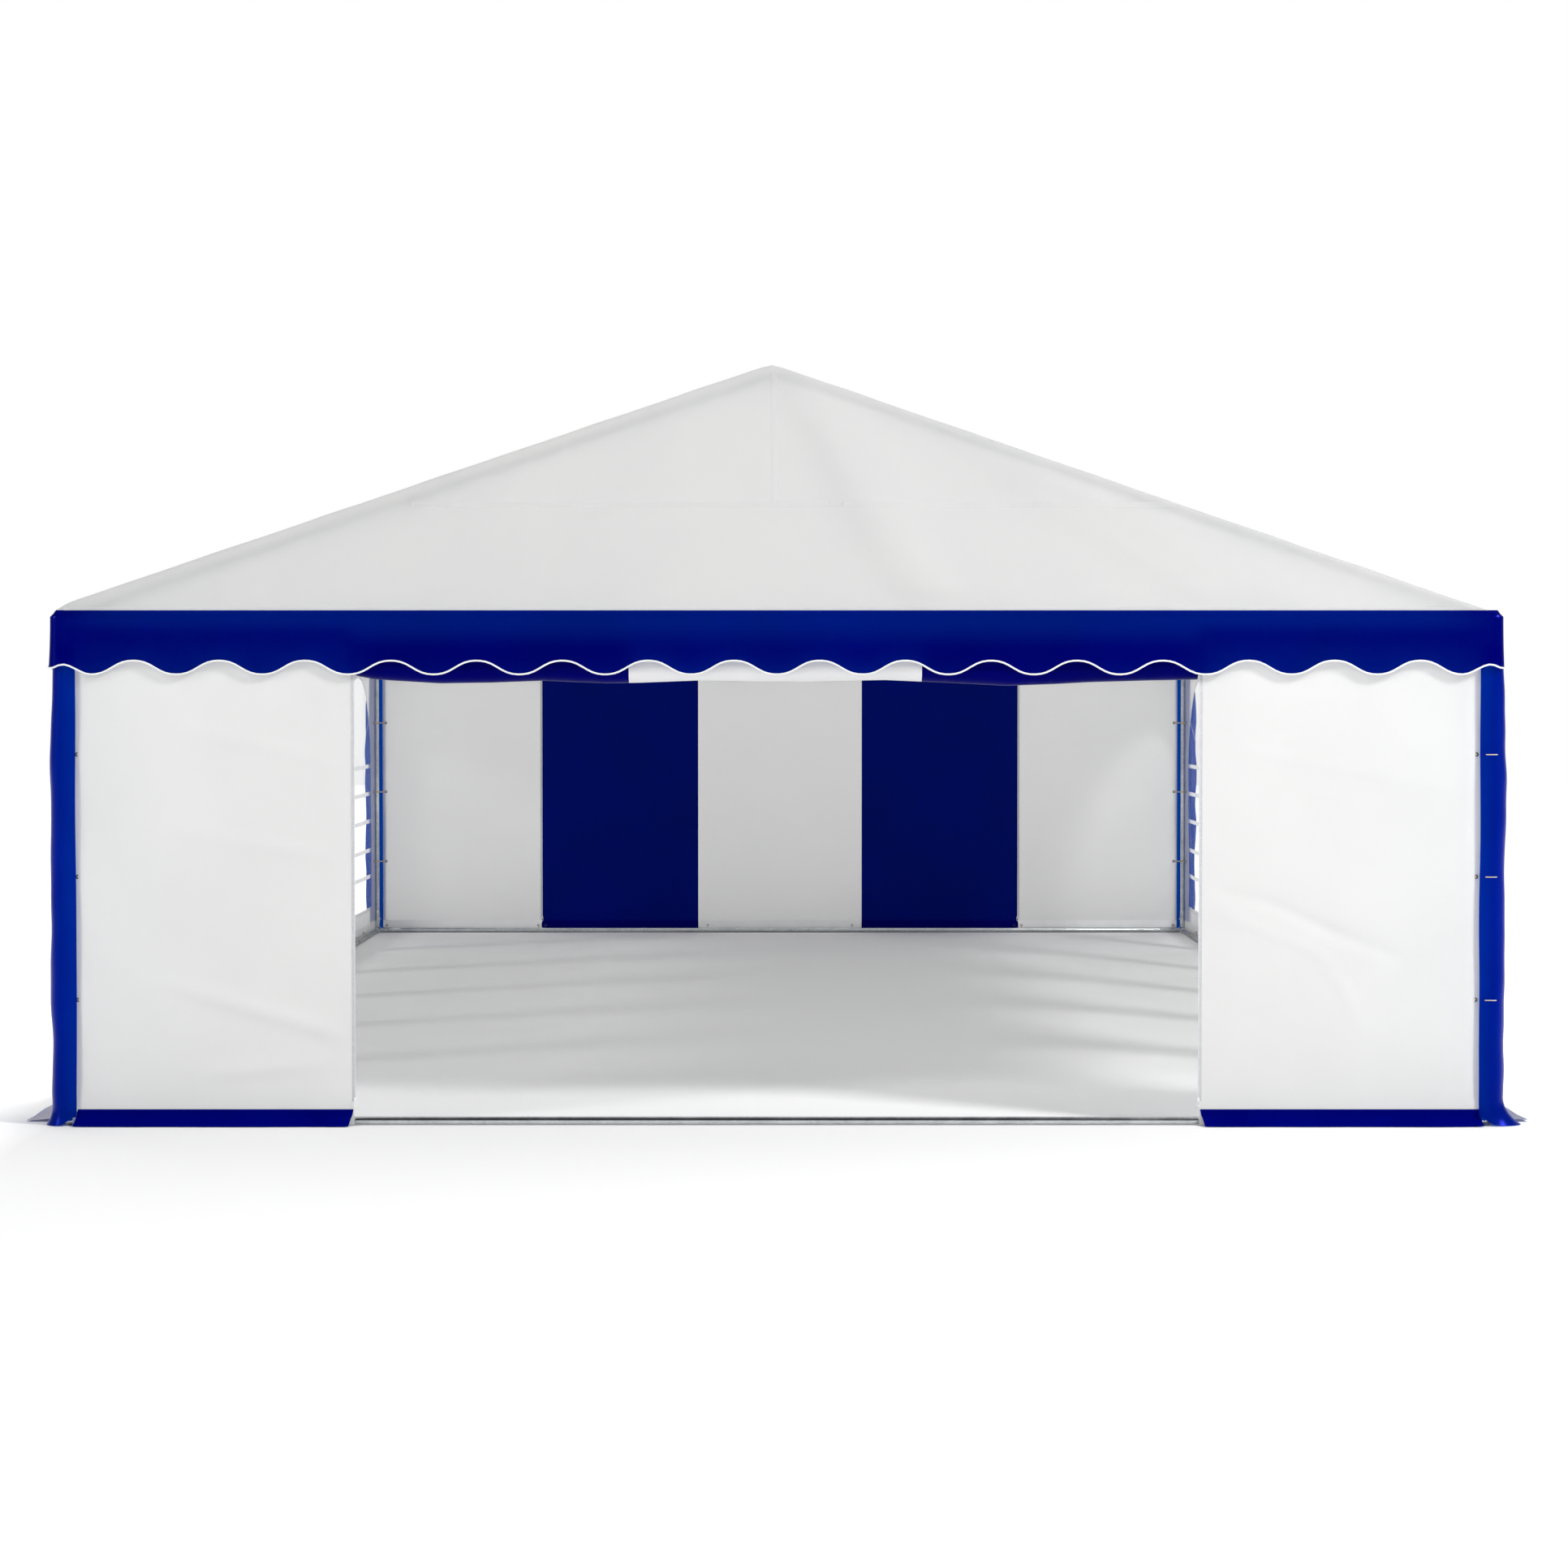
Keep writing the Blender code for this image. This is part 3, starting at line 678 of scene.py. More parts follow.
def roofX(s):
    return s * roofCover["edgeX"] + roofCover["ridgeShift"] * (1 - np.abs(s))


def roofStation(x):
    # The other way round: which s lies at x
    away = x - roofCover["ridgeShift"]
    run = roofCover["edgeX"] - np.sign(away) * roofCover["ridgeShift"]
    return np.clip(away / run, -1, 1)


def roofSag(x, y, part):
    inBay = (y + tent["legY"]) / bayLength
    between = np.sin(math.pi * inBay) ** 2
    lobes = np.sin(math.pi * np.abs(x) / roofCover["purlinX"]) ** 2
    slack = roofCover["baySag"] * between * lobes * smooth(part, 0.0, 0.1) * (1 - smooth(part, 0.93, 1.0))
    held = smooth(part, 0.02, 0.1) * (1 - smooth(part, 0.9, 1))
    return slack + 0.0016 * softNoise(x * 2.2, y, 0.9, 3) * held


def gableSwell(x, z, sign, top):
    # How far the gable cloth lies inside its flat plane, less than nothing where it stands out. The folds
    # are those of the photograph's front gable.
    edge = smooth(top - z, 0.02, 0.10) * smooth(z - tent["eaves"], 0.0, 0.10)
    folds = foldLines(x * -sign, z, roofCover["folds"], 2.4)
    slack = 0.0012 * softNoise(x * sign, z * 1.6, 0.9, 11)
    return (folds + slack) * edge


def gablePlace(x, z, sign, proud=0.0):
    swell = gableSwell(x, z, sign, roofHeight(roofStation(x)))
    return sign * (roofCover["edgeY"] - swell + proud)


def drapeRoof(u, v):
    slopeRows = tent["bays"] * roofCover["rowsPerBay"]
    down, bend = roofCover["gableRows"], roofCover["roundRows"]
    total = slopeRows + 2 * (down + bend)
    row = v * total - total / 2                       # 0 in the middle of the tent
    sign = np.where(row < 0, -1.0, 1.0)
    past = np.abs(row) - slopeRows / 2
    s = roofStations(u)
    x, part = roofX(s), np.abs(s)
    top = roofHeight(s)
    bendRadius = np.minimum(roofCover["edgeRound"], 0.5 * (top - tent["eaves"]))
    y = np.clip(row / (slopeRows / 2), -1, 1) * (roofCover["edgeY"] - bendRadius)
    z = top - np.where(past < 0, roofSag(x, y, part), 0.0)
    turn = np.clip(past / bend, 0, 1) * math.pi / 2
    y = y + sign * bendRadius * np.sin(turn)
    z = z - bendRadius * (1 - np.cos(turn))
    drop = np.clip((past - bend) / down, 0, 1)
    z = z - drop * (top - bendRadius - tent["eaves"])
    y = np.where(past > bend, gablePlace(x, z, sign), y)
    across = x * 1.055
    along = y + sign * drop * (top - tent["eaves"])
    return x, y, z, across, along


def makeRoof():
    rows = tent["bays"] * roofCover["rowsPerBay"] + 2 * (roofCover["gableRows"] + roofCover["roundRows"])
    sheet = drapeGrid(roofCover["columns"], rows, drapeRoof)
    mergeDoubles(sheet)
    faceOut(sheet, fromMiddle)
    sheet.data.shade_smooth()
    cover = finishPiece(sheet, "roofCover", [whiteCloth],
                        ["roof_slope_left", "roof_slope_right", "gable_front", "gable_back"])
    welds = makeRoofWelds()


roofWeld = {
    "width": 0.022, "proud": 0.0006, "hemHeight": 0.012, "endX": 2.942,
    # Across each gable, and up to its peak from there: height, ends and place
    "acrossZ": 2.568, "acrossFrom": -1.506, "acrossTo": 1.644, "upX": -0.010, "belowPeak": 0.03,
}


def makeRoofWelds():
    # Lapped and welded seams: over each frame, across each gable, up to each peak and along its foot
    welds = []
    proud, half, acrossZ = roofWeld["proud"], roofWeld["width"] / 2, roofWeld["acrossZ"]

    for number in range(1, tent["bays"]):
        middle = -tent["legY"] + bayLength * number

        def overFrame(u, v):
            s = roofStations(u)
            x = roofX(s)
            y = middle + (2 * v - 1) * half
            return x, y, roofHeight(s) - roofSag(x, y, np.abs(s)) + proud, x, y

        welds.append(stripBetween(f"roofWeld_{number}", roofCover["columns"], 2, overFrame, [seamCloth]))

    for end, sign in ends:
        lowX, highX = sorted((roofWeld["acrossFrom"] * -sign, roofWeld["acrossTo"] * -sign))
        seamX = roofWeld["upX"] * -sign
        peak = roofHeight(roofStation(seamX)) - roofWeld["belowPeak"]

        def acrossGable(u, v):
            x = lowX + (highX - lowX) * u
            z = acrossZ + (2 * v - 1) * half
            return x, gablePlace(x, z, sign, proud), z, x, z

        def upToPeak(u, v):
            x = seamX + (2 * u - 1) * half
            z = acrossZ + half + (peak - acrossZ - half) * v
            return x, gablePlace(x, z, sign, proud), z, x, z

        def alongFoot(u, v):
            x = (2 * u - 1) * roofWeld["endX"]
            z = np.minimum(tent["eaves"] - 0.001 + roofWeld["hemHeight"] * v,
                           roofHeight(roofStation(x)) - 0.002)
            return x, gablePlace(x, z, sign, proud), z, x, z

        for word, drape, columns, rows in (("across", acrossGable, 110, 2), ("peak", upToPeak, 2, 20),
                                           ("foot", alongFoot, 150, 1)):
            welds.append(stripBetween(f"gableWeld_{end}_{word}", columns, rows, drape, [seamCloth]))
    return welds


makeRoof()
print("roof cover ready")


# Valance: a blue strip round all four sides, with a wavy hem bound in white

valance = {
    "corner": 0.024, "topInX": 0.028, "topInY": 0.020, "chamfer": 0.028,
    "middle": 1.8962, "wave": 0.0283, "pitch": 0.3535, "firstTrough": 0.171,
    "peakAt": 0.056, "peak": 1.909, "cornerHem": 1.891, "fullness": 0.05,
    "flare": 0.006, "ripple": 0.0035,
    "step": 0.022, "rows": 14, "pipe": 0.0043, "flatHigh": 0.27, "usedHigh": 0.25,
}


def hemHeight(along, span):
    # along is the distance from one corner of a face span long
    near = np.minimum(along, span - along)
    first = valance["firstTrough"]
    count = round((span - 2 * first) / valance["pitch"])
    pitch = (span - 2 * first) / count
    turn = tau * (along - first) / pitch
    full = valance["fullness"]                        # makes crests and troughs rounder than a plain wave
    wave = valance["middle"] - valance["wave"] * (np.cos(turn) - full * np.cos(3 * turn)) / (1 - full)
    trough = valance["middle"] - valance["wave"]
    cornerHem, peak, peakAt = valance["cornerHem"], valance["peak"], valance["peakAt"]
    outer = cornerHem + (peak - cornerHem) * smooth(near, 0, peakAt)
    inner = peak + (trough - peak) * smooth(near, peakAt, first)
    return np.where(near > first, wave, np.where(near < peakAt, outer, inner))


def valancePath(distance):
    # Runs round half the tent from the middle of the left side, over the front, to the middle of the
    # right side: place, way it looks, and how far along which face
    radius, wide, long = valance["corner"], tent["halfWidth"], tent["halfLength"]
    straight, arc, front = long - radius, radius * math.pi / 2, 2 * (wide - radius)
    secondArc = straight + arc + front
    turn = np.clip((distance - straight) / arc, 0, 1) + np.clip((distance - secondArc) / arc, 0, 1)
    angle = math.pi + turn * math.pi / 2             # looks to -X, then -Y, then +X
    lookX, lookY = np.cos(angle), np.sin(angle)
    firstLeg = np.clip(distance, 0, straight)
    middleLeg = np.clip(distance - straight - arc, 0, front)
    lastLeg = np.clip(distance - secondArc - arc, 0, straight)
    x = -(wide - radius) + middleLeg + radius * lookX
    y = -firstLeg + lastLeg + radius * lookY
    frontFace = (turn > 0.5) & (turn < 1.5)
    along = np.where(frontFace, x + wide, long - np.abs(y))
    span = np.where(frontFace, 2 * wide, 2 * long)
    hem = np.where(frontFace, hemHeight(np.clip(along, 0, 2 * wide), 2 * wide),
                   hemHeight(np.clip(along, 0, long), 2 * long))
    return x, y, lookX, lookY, hem, span


valanceLength = 2 * (tent["halfLength"] - valance["corner"]) + valance["corner"] * math.pi \
    + 2 * (tent["halfWidth"] - valance["corner"])


def valanceRipple(distance, end):
    return valance["ripple"] * softNoise(distance, 0 * distance, 0.5, 21 + end)


def drapeValance(end):
    def drape(u, v):
        distance = u * valanceLength
        x, y, lookX, lookY, hem, _ = valancePath(distance)
        rows = valance["rows"]
        row = (1 - v) * rows                            # 0 at the top
        slope = np.clip(row / 2, 0, 1)                  # the first two rows go over the eaves bar
        hang = np.clip((row - 2) / (rows - 2), 0, 1)
        shoulder = tent["eaves"] - valance["chamfer"]
        z = tent["eaves"] - valance["chamfer"] * slope - hang * (shoulder - hem)
        out = hang ** 2 * (valance["flare"] + valanceRipple(distance, end))
        x = x - lookX * valance["topInX"] * (1 - slope) + lookX * out
        y = y - lookY * valance["topInY"] * (1 - slope) + lookY * out
        return x * -end, y * -end, z, distance, z
    return drape


def makeValance():
    for end, sign in ends:
        columns = int(valanceLength / valance["step"])
        half = drapeGrid(columns, valance["rows"], drapeValance(sign))
        faceOut(half, fromMiddle)
        half.data.shade_smooth()
        node = "valance_left" if sign < 0 else "valance_right"
        finishPiece(half, f"valance_{end}Half", [blueCloth], [node])
        distance = np.linspace(0, valanceLength, columns + 1)
        x, y, z, _, _ = drapeValance(sign)(distance / valanceLength, np.zeros(columns + 1))
        binding = tubeAlong(f"hemBinding_{end}Half", list(zip(x, y, z)), valance["pipe"], whiteStripPaintedShade)


makeValance()
print("valance ready")


# Front panels: white cloth each side of the open doorway

frontPanel = {
    "columns": 64, "rows": 110, "flatWide": 1.23,
    # From and to, distance from the middle and height, then width and depth
    "foldsLeft": [(2.50, 1.66, 1.76, 1.49, 0.035, 0.006), (2.48, 1.22, 1.75, 1.10, 0.035, 0.006),
                  (2.48, 0.576, 1.76, 0.367, 0.040, 0.013), (2.34, 0.215, 1.90, 0.255, 0.035, 0.009),
                  (1.95, 1.95, 1.78, 1.55, 0.05, 0.003)],
    "foldsRight": [(1.98, 1.545, 2.68, 1.415, 0.022, 0.004), (1.77, 0.985, 2.06, 0.915, 0.026, -0.006),
                   (2.05, 0.915, 2.30, 0.80, 0.026, -0.007), (2.25, 0.82, 2.56, 0.70, 0.028, -0.008),
                   (1.85, 0.875, 2.24, 0.715, 0.022, 0.005), (2.22, 0.73, 2.36, 0.55, 0.024, 0.004),
                   (2.33, 0.58, 2.42, 0.40, 0.03, 0.003)],
}


def frontSwell(away, z, side):
    # away is the distance from the tent's middle line
    inside = smooth(away - tent["doorHalf"], 0.0, 0.12) * (1 - smooth(away, 2.80, 2.90))
    upright = smooth(z, 0.05, 0.25) * (1 - smooth(z, 1.85, 2.05))
    folds = foldLines(away, z, frontPanel["foldsLeft" if side < 0 else "foldsRight"])
    slack = 0.0015 * softNoise(away * 1.1, z, 0.75, 31 + side)
    # Pulled in beside the corner cover, most at the loops of cord
    pull = smooth(away, 2.862 + 0.008 * np.cos(tau * (z - 1.03) / 0.508), 2.900)
    tuck = -0.013 * pull * smooth(z, 0.04, 0.15) * (1 - smooth(z, 1.85, 2.02))
    return (folds + slack) * inside * upright + tuck


def makeFrontPanels():
    for side, sign in sides:
        def drape(u, v):
            away = tent["doorHalf"] + (tent["wallEnd"] - tent["doorHalf"]) * u
            z = wallRise(v)
            return sign * away, -tent["wallY"] - frontSwell(away, z, sign), z, sign * away, z

        stripBetween(f"frontPanel_{side}", frontPanel["columns"], frontPanel["rows"], drape, [wallClothPaintedLight],
                     nodes=[f"front_panel_{side}"])


makeFrontPanels()
print("front panels ready")


# Side walls with arched windows

sideWall = {
    # Window: half its width, and heights of its sill, of the foot of its arch and of its top
    "half": 0.83, "sill": 0.195, "spring": 1.225, "apex": 1.865,
    "rings": 12, "sides": (73, 61, 121, 61),        # points along sill, upright, arch and upright
    "shoulder": 1.35, "quarter": 0.24,              # where the walk round the bay turns the upper corners
    "overlap": 0.02, "weld": 0.022, "paneGrid": 60,
    "bars": (1.225, 1.025, 0.825, 0.615, 0.425), "barHeight": 0.028,
    "rays": (30, 60, 90, 120, 150), "rayWidth": 0.006,
}


def archPoint(turn, grow=0.0):
    # turn from 0 to 4 goes round the window: sill, right upright, arch, left upright
    half, sill = sideWall["half"] + grow, sideWall["sill"] - grow
    spring, rise = sideWall["spring"], sideWall["apex"] - sideWall["spring"] + grow
    angle = math.pi * np.clip(turn - 2, 0, 1)
    a = np.where(turn < 1, -half + 2 * half * turn,
                 np.where(turn < 2, half, np.where(turn < 3, half * np.cos(angle), -half)))
    b = np.where(turn < 1, sill,
                 np.where(turn < 2, sill + (spring - sill) * (turn - 1),
                          np.where(turn < 3, spring + rise * np.sin(angle),
                                   spring - (spring - sill) * (turn - 3))))
    return a, b


def bayPoint(turn, low, high):
    # The same walk round the whole bay of wall, from low to high along the wall
    top, shoulder, quarter = tent["wallTop"], sideWall["shoulder"], sideWall["quarter"]
    foot = tent["wallFoot"]
    arch = np.clip(turn - 2, 0, 1)
    overTop = np.clip((arch - quarter) / (1 - 2 * quarter), 0, 1)
    a = np.where(turn < 1, low + (high - low) * turn,
                 np.where(turn < 2, high, np.where(turn < 3, high - (high - low) * overTop, low)))
    rise = np.clip(arch / quarter, 0, 1) - np.clip((arch - 1 + quarter) / quarter, 0, 1)
    b = np.where(turn < 1, foot,
                 np.where(turn < 2, shoulder * (turn - 1) + foot * (2 - turn),
                          np.where(turn < 3, shoulder + (top - shoulder) * rise,
                                   shoulder * (4 - turn) + foot * (turn - 3))))
    return a, b


def wallSwell(y, z, side):
    # Stands in folds below the windows, and is tied back at each leg
    low = 1 - smooth(z, 0.1, 0.5)
    ripple = 0.004 * low * softNoise(y, z * 0.12, 0.16, 41 + side) * smooth(z, 0.0, 0.06)
    slack = 0.005 * softNoise(y, z * 0.5, 0.7, 51 + side)
    held = smooth(tent["wallY"] - np.abs(y), 0.0, 0.15) * (1 - smooth(z, 1.95, 2.07)) * smooth(z, 0.0, 0.1)
    drawnIn = 0.010 * smooth(np.abs(y), 5.80, 5.94)
    return ripple + slack * held - drawnIn


wallTrim = {}       # windows, hem bands and zips of each wall


def bayMiddle(number):
    return -tent["legY"] + bayLength * (number + 0.5)


def makeSideWalls():
    walks = np.concatenate([np.linspace(turn, turn + 1, count)[min(turn, 1):]
                            for turn, count in enumerate(sideWall["sides"])])
    for side, sign in sides:
        bays = []
        for number in range(tent["bays"]):
            middle = bayMiddle(number)
            low = -tent["sideEnd"] if number == 0 else middle - bayLength / 2
            high = tent["sideEnd"] if number == tent["bays"] - 1 else middle + bayLength / 2

            def drape(u, v):
                turn = walks[np.rint(u * (len(walks) - 1)).astype(int)]
                innerA, innerB = archPoint(turn)
                outerA, outerB = bayPoint(turn, low, high)
                y = middle + innerA + (outerA - middle - innerA) * v
                z = innerB + (outerB - innerB) * v
                return sign * (tent["wallX"] + wallSwell(y, z, sign)), y, z, y, z

            bays.append(drapeGrid(len(walks) - 1, sideWall["rings"], drape))
        wall = joinParts(bays)
        mergeDoubles(wall, 0.0002)
        faceOut(wall, outAlongX(sign))
        wall.data.shade_smooth()
        finishPiece(wall, f"sideWall_{side}", [wallClothPaintedLight], [f"side_wall_{side}"])
        glazing = makeWindowFilm(side, sign)
        bars = [makeGlazingBars(side, sign, number) for number in range(tent["bays"])]
        wallTrim[wall.name] = [glazing] + bars


def makeWindowFilm(side, sign):
    # Film behind each opening, which reaches a little past it
    overlap, half = sideWall["overlap"], sideWall["half"] + sideWall["overlap"]
    panes = []
    for number in range(tent["bays"]):
        middle = bayMiddle(number)

        def pane(u, v):
            a = half * np.sin(math.pi * (u - 0.5))
            rise = sideWall["apex"] - sideWall["spring"] + overlap
            top = sideWall["spring"] + rise * np.sqrt(np.clip(1 - (a / half) ** 2, 0, 1))
            z = sideWall["sill"] - overlap + (top - sideWall["sill"] + overlap) * v
            y = middle + a
            return sign * (tent["wallX"] + wallSwell(y, z, sign) - 0.0012), y, z, y, z

        panes.append(drapeGrid(sideWall["paneGrid"], sideWall["paneGrid"], pane))
    glazing = joinParts(panes)
    mergeDoubles(glazing)
    faceOut(glazing, outAlongX(sign))
    glazing.data.shade_smooth()
    return finishPiece(glazing, f"windowFilm_{side}", [film], [f"window_film_{side}"])


def makeGlazingBars(side, sign, number):
    # White strips on the film: a band round it, level bars, a fan in its arch and one upright
    middle, half = bayMiddle(number), sideWall["half"]

    def wallPlace(y, z, proud):
        return sign * (tent["wallX"] + wallSwell(y, z, sign) + proud)

    def weldBand(u, v):
        innerA, innerB = archPoint(4 * u, -0.004)
        outerA, outerB = archPoint(4 * u, sideWall["weld"])
        y = middle + innerA + (outerA - innerA) * v
        z = innerB + (outerB - innerB) * v
        return wallPlace(y, z, 0.0012), y, z, y, z

    strips = [drapeGrid(240, 2, weldBand)]
    for level in sideWall["bars"]:
        def bar(u, v):
            y = middle + (2 * u - 1) * half
            z = level + (v - 0.5) * sideWall["barHeight"]
            return wallPlace(y, z, 0.0008), y, z, y, z

        strips.append(drapeGrid(60, 2, bar))
    for degrees in sideWall["rays"]:
        angle = math.radians(degrees)
        reachA, reachB = half * math.cos(angle), (sideWall["apex"] - sideWall["spring"]) * math.sin(angle)

        def ray(u, v):
            halfWide = sideWall["rayWidth"] / 2 / math.hypot(reachA, reachB)
            y = middle + reachA * v - reachB * halfWide * (2 * u - 1)
            z = sideWall["spring"] + reachB * v + reachA * halfWide * (2 * u - 1)
            return wallPlace(y, z, 0.0006), y, z, y, z

        strips.append(drapeGrid(1, 30, ray))

    def upright(u, v):
        y = middle + (2 * u - 1) * sideWall["rayWidth"] / 2
        z = sideWall["sill"] + (sideWall["spring"] - sideWall["sill"]) * v
        return wallPlace(y, z, 0.0005), y, z, y, z

    strips.append(drapeGrid(1, 50, upright))
    for part in strips:
        faceOut(part, outAlongX(sign))
    bars = joinParts(strips)
    bars.data.shade_smooth()
    return finishPiece(bars, f"glazingBars_{side}_{number + 1}", [glazingStrip])


makeSideWalls()
print("side walls ready")


# Back wall: white panels and a striped door, closed with a zip at each side

backWall = {"columns": 50, "rows": 80, "stripeColumns": 48, "slack": 0.004, "slackSize": 0.45}


def backSwell(x, z):
    slack = backWall["slack"] * softNoise(x, z * 0.35, backWall["slackSize"], 61)
    return slack * smooth(z, 0.05, 0.3) * (1 - smooth(z, 1.8, 2.05))


def stripeStations(half, firstStripe):
    # Points across a door, so that its columns meet at the edges of the stripes
    count = backWall["stripeColumns"] + 1
    return np.concatenate([np.linspace(-half, firstStripe, count),
                           np.linspace(firstStripe, tent["stripeHalf"], count)[1:],
                           np.linspace(tent["stripeHalf"], half, count)[1:]])


def paintStripes(door, first, last):
    # Blue outside the middle stripe, which goes from first to last
    across = readArray(door.data.polygons, "center", 3)[:, 0]
    blueSide = ((across < first) | (across > last)).astype(np.int32)
    door.data.polygons.foreach_set("material_index", blueSide)
    door.data.update()


def makeBackWall():
    for side, sign in sides:
        def drape(u, v):
            away = tent["doorHalf"] + 0.002 + (tent["wallEnd"] - tent["doorHalf"] - 0.002) * u
            z = wallRise(v)
            return sign * away, tent["wallY"] + backSwell(sign * away, z), z, sign * away, z

        stripBetween(f"backPanel_{side}", backWall["columns"], backWall["rows"], drape, [whiteCloth],
                     nodes=[f"back_panel_{side}"])

    stations = stripeStations(tent["doorHalf"], -tent["stripeHalf"])

    def door(u, v):
        x = stations[np.rint(u * (len(stations) - 1)).astype(int)]
        z = wallRise(v)
        return x, tent["wallY"] + backSwell(x, z), z, x, z

    sheet = stripBetween("backDoor", len(stations) - 1, backWall["rows"], door, [whiteCloth, blueDoor],
                         nodes=["back_door"])
    paintStripes(sheet, -tent["stripeHalf"], tent["stripeHalf"])


makeBackWall()
print("back wall ready")


# Front door, rolled up under the gable

doorRoll = {
    "radius": 0.060, "core": 0.022, "turns": 6.6, "height": 1.893, "setback": 0.045,
    "half": 1.743, "firstStripe": -0.612, "startsAt": math.radians(160),
    "rowsPerTurn": 26, "neckRows": 4, "neckForward": 0.012,
    # The roll hangs lower between its ties, and its ends are pulled up: place and height of its underside
    "hang": [(-1.75, 1.862), (-1.67, 1.846), (-1.58, 1.840), (-1.40, 1.829), (-1.18, 1.832), (-0.97, 1.840),
             (-0.70, 1.829), (-0.56, 1.832), (-0.33, 1.841), (-0.10, 1.837), (0.10, 1.836), (0.45, 1.843),
             (0.70, 1.832), (0.95, 1.819), (1.15, 1.826), (1.30, 1.834), (1.55, 1.841), (1.75, 1.845)],
}


def rollDrop(x):
    places, heights = zip(*doorRoll["hang"])
    return np.interp(x, places, heights) + doorRoll["radius"] - doorRoll["height"]


def makeDoorRoll():
    stations = stripeStations(doorRoll["half"], doorRoll["firstStripe"])
    neckRows, first = doorRoll["neckRows"], doorRoll["startsAt"]       # at the front of the roll
    rows = neckRows + int(doorRoll["turns"] * doorRoll["rowsPerTurn"])
    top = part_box("crossbar_front")[0].z - 0.002

    def drape(u, v):
        x = stations[np.rint(u * (len(stations) - 1)).astype(int)]
        row = v * rows
        hang = np.clip(row / neckRows, 0, 1)
        wound = np.clip((row - neckRows) / (rows - neckRows), 0, 1)
        radius = doorRoll["radius"] + (doorRoll["core"] - doorRoll["radius"]) * wound
        angle = first + wound * doorRoll["turns"] * tau
        middleY, middleZ = -tent["legY"] + doorRoll["setback"], doorRoll["height"] + rollDrop(x)
        rollY, rollZ = middleY + radius * np.cos(angle), middleZ + radius * np.sin(angle)
        neckY = -tent["legY"] - doorRoll["neckForward"]
        firstY = middleY + doorRoll["radius"] * math.cos(first)
        firstZ = middleZ + doorRoll["radius"] * math.sin(first)
        y = np.where(row < neckRows, neckY + (firstY - neckY) * hang, rollY)
        z = np.where(row < neckRows, top + (firstZ - top) * hang, rollZ)
        return x, y, z, x, v * tent["wallTop"]

    middle = np.array([0.0, -tent["legY"] + doorRoll["setback"], doorRoll["height"]])
    # The roll's white cloth carries painted light, to lift it out of the valance's shade
    roll = stripBetween("frontDoorRoll", len(stations) - 1, rows, drape, [whiteDoorPaintedLight, blueDoor],
                        outward=lambda centres: centres - middle,
                        nodes=["front_door_roll"])
    paintStripes(roll, doorRoll["firstStripe"], tent["stripeHalf"])


makeDoorRoll()
print("door roll ready")


# Corner covers: blue strips folded round the corners, flaring at the foot

cornerCover = {
    "innerX": {"left": 2.896, "right": 2.905}, "outerX": {"left": 2.996, "right": 3.007}, "outerY": 5.989,
    "corner": 0.048, "sideLength": 0.26, "belly": 0.010, "bell": 0.030,
    "top": 1.985, "foot": 0.002, "footRise": 0.036, "flareFrom": 0.12,
    "flare": {"left": 0.036, "right": 0.085},     # how far each foot spreads sideways
    "columns": 48, "rows": 130,
}


def makeCornerCovers():
    radius = cornerCover["corner"]
    arc = radius * math.pi / 2
    for end, endSign in ends:
        for side, sideSign in sides:
            innerX = cornerCover["innerX"][side]
            frontRun = cornerCover["outerX"][side] - radius - innerX
            total = frontRun + arc + cornerCover["sideLength"]
            seed = 80 + 2 * endSign + sideSign
            # The back corners are the front ones turned half round
            spread = cornerCover["flare"]["left" if sideSign == endSign else "right"]

            def drape(u, v):
                distance = u * total
                rise = cornerCover["footRise"] * (1 - smooth(distance, 0.0, 0.075))
                foot = cornerCover["foot"] + rise
                z = foot + (cornerCover["top"] - foot) * v
                turn = np.clip((distance - frontRun) / arc, 0, 1) * math.pi / 2
                onFront = np.clip(distance, 0, frontRun)
                onSide = np.clip(distance - frontRun - arc, 0, cornerCover["sideLength"])
                lookX, lookY = np.sin(turn), np.cos(turn)
                x = innerX + onFront + radius * lookX
                y = cornerCover["outerY"] - radius - onSide + radius * lookY
                hung = smooth(z, 0.02, 0.15) * (1 - smooth(z, 1.65, 1.93))
                wander = 0.0025 * softNoise(z, 0 * z, 0.6, seed)
                outward = 0.011 + 0.006 * softNoise(z, 0 * z, 0.42, seed + 5)
                outward = outward + 0.002 * softNoise(z, 0 * z, 0.17, seed + 3)
                across = smooth(distance, 0, frontRun)
                x = x + hung * (wander * (1 - across) + outward * across)
                y = y + 0.010 * softNoise(z, 0 * z, 0.5, seed + 9) * smooth(onSide, 0.12, 0.26)
                bulge = 0.005 * softNoise(distance * 2.0, z, 0.5, seed + 12) + cornerCover["belly"]
                bell = np.clip(1 - z / cornerCover["flareFrom"], 0, 1) ** 2
                y = y + lookY * (bulge * hung * smooth(distance, 0, 0.05) + cornerCover["bell"] * bell)
                x = x + spread * bell * lookX
                return sideSign * x, endSign * y, z, distance, z

            cover = stripBetween(f"cornerCover_{end}_{side}", cornerCover["columns"], cornerCover["rows"],
                                 drape, [blueCoverPaintedLight],
                                 nodes=[f"corner_cover_{end}_{side}"])


makeCornerCovers()
print("corner covers ready")


# Ground flaps: low blue strips at the foot of every wall, turned out over the ground

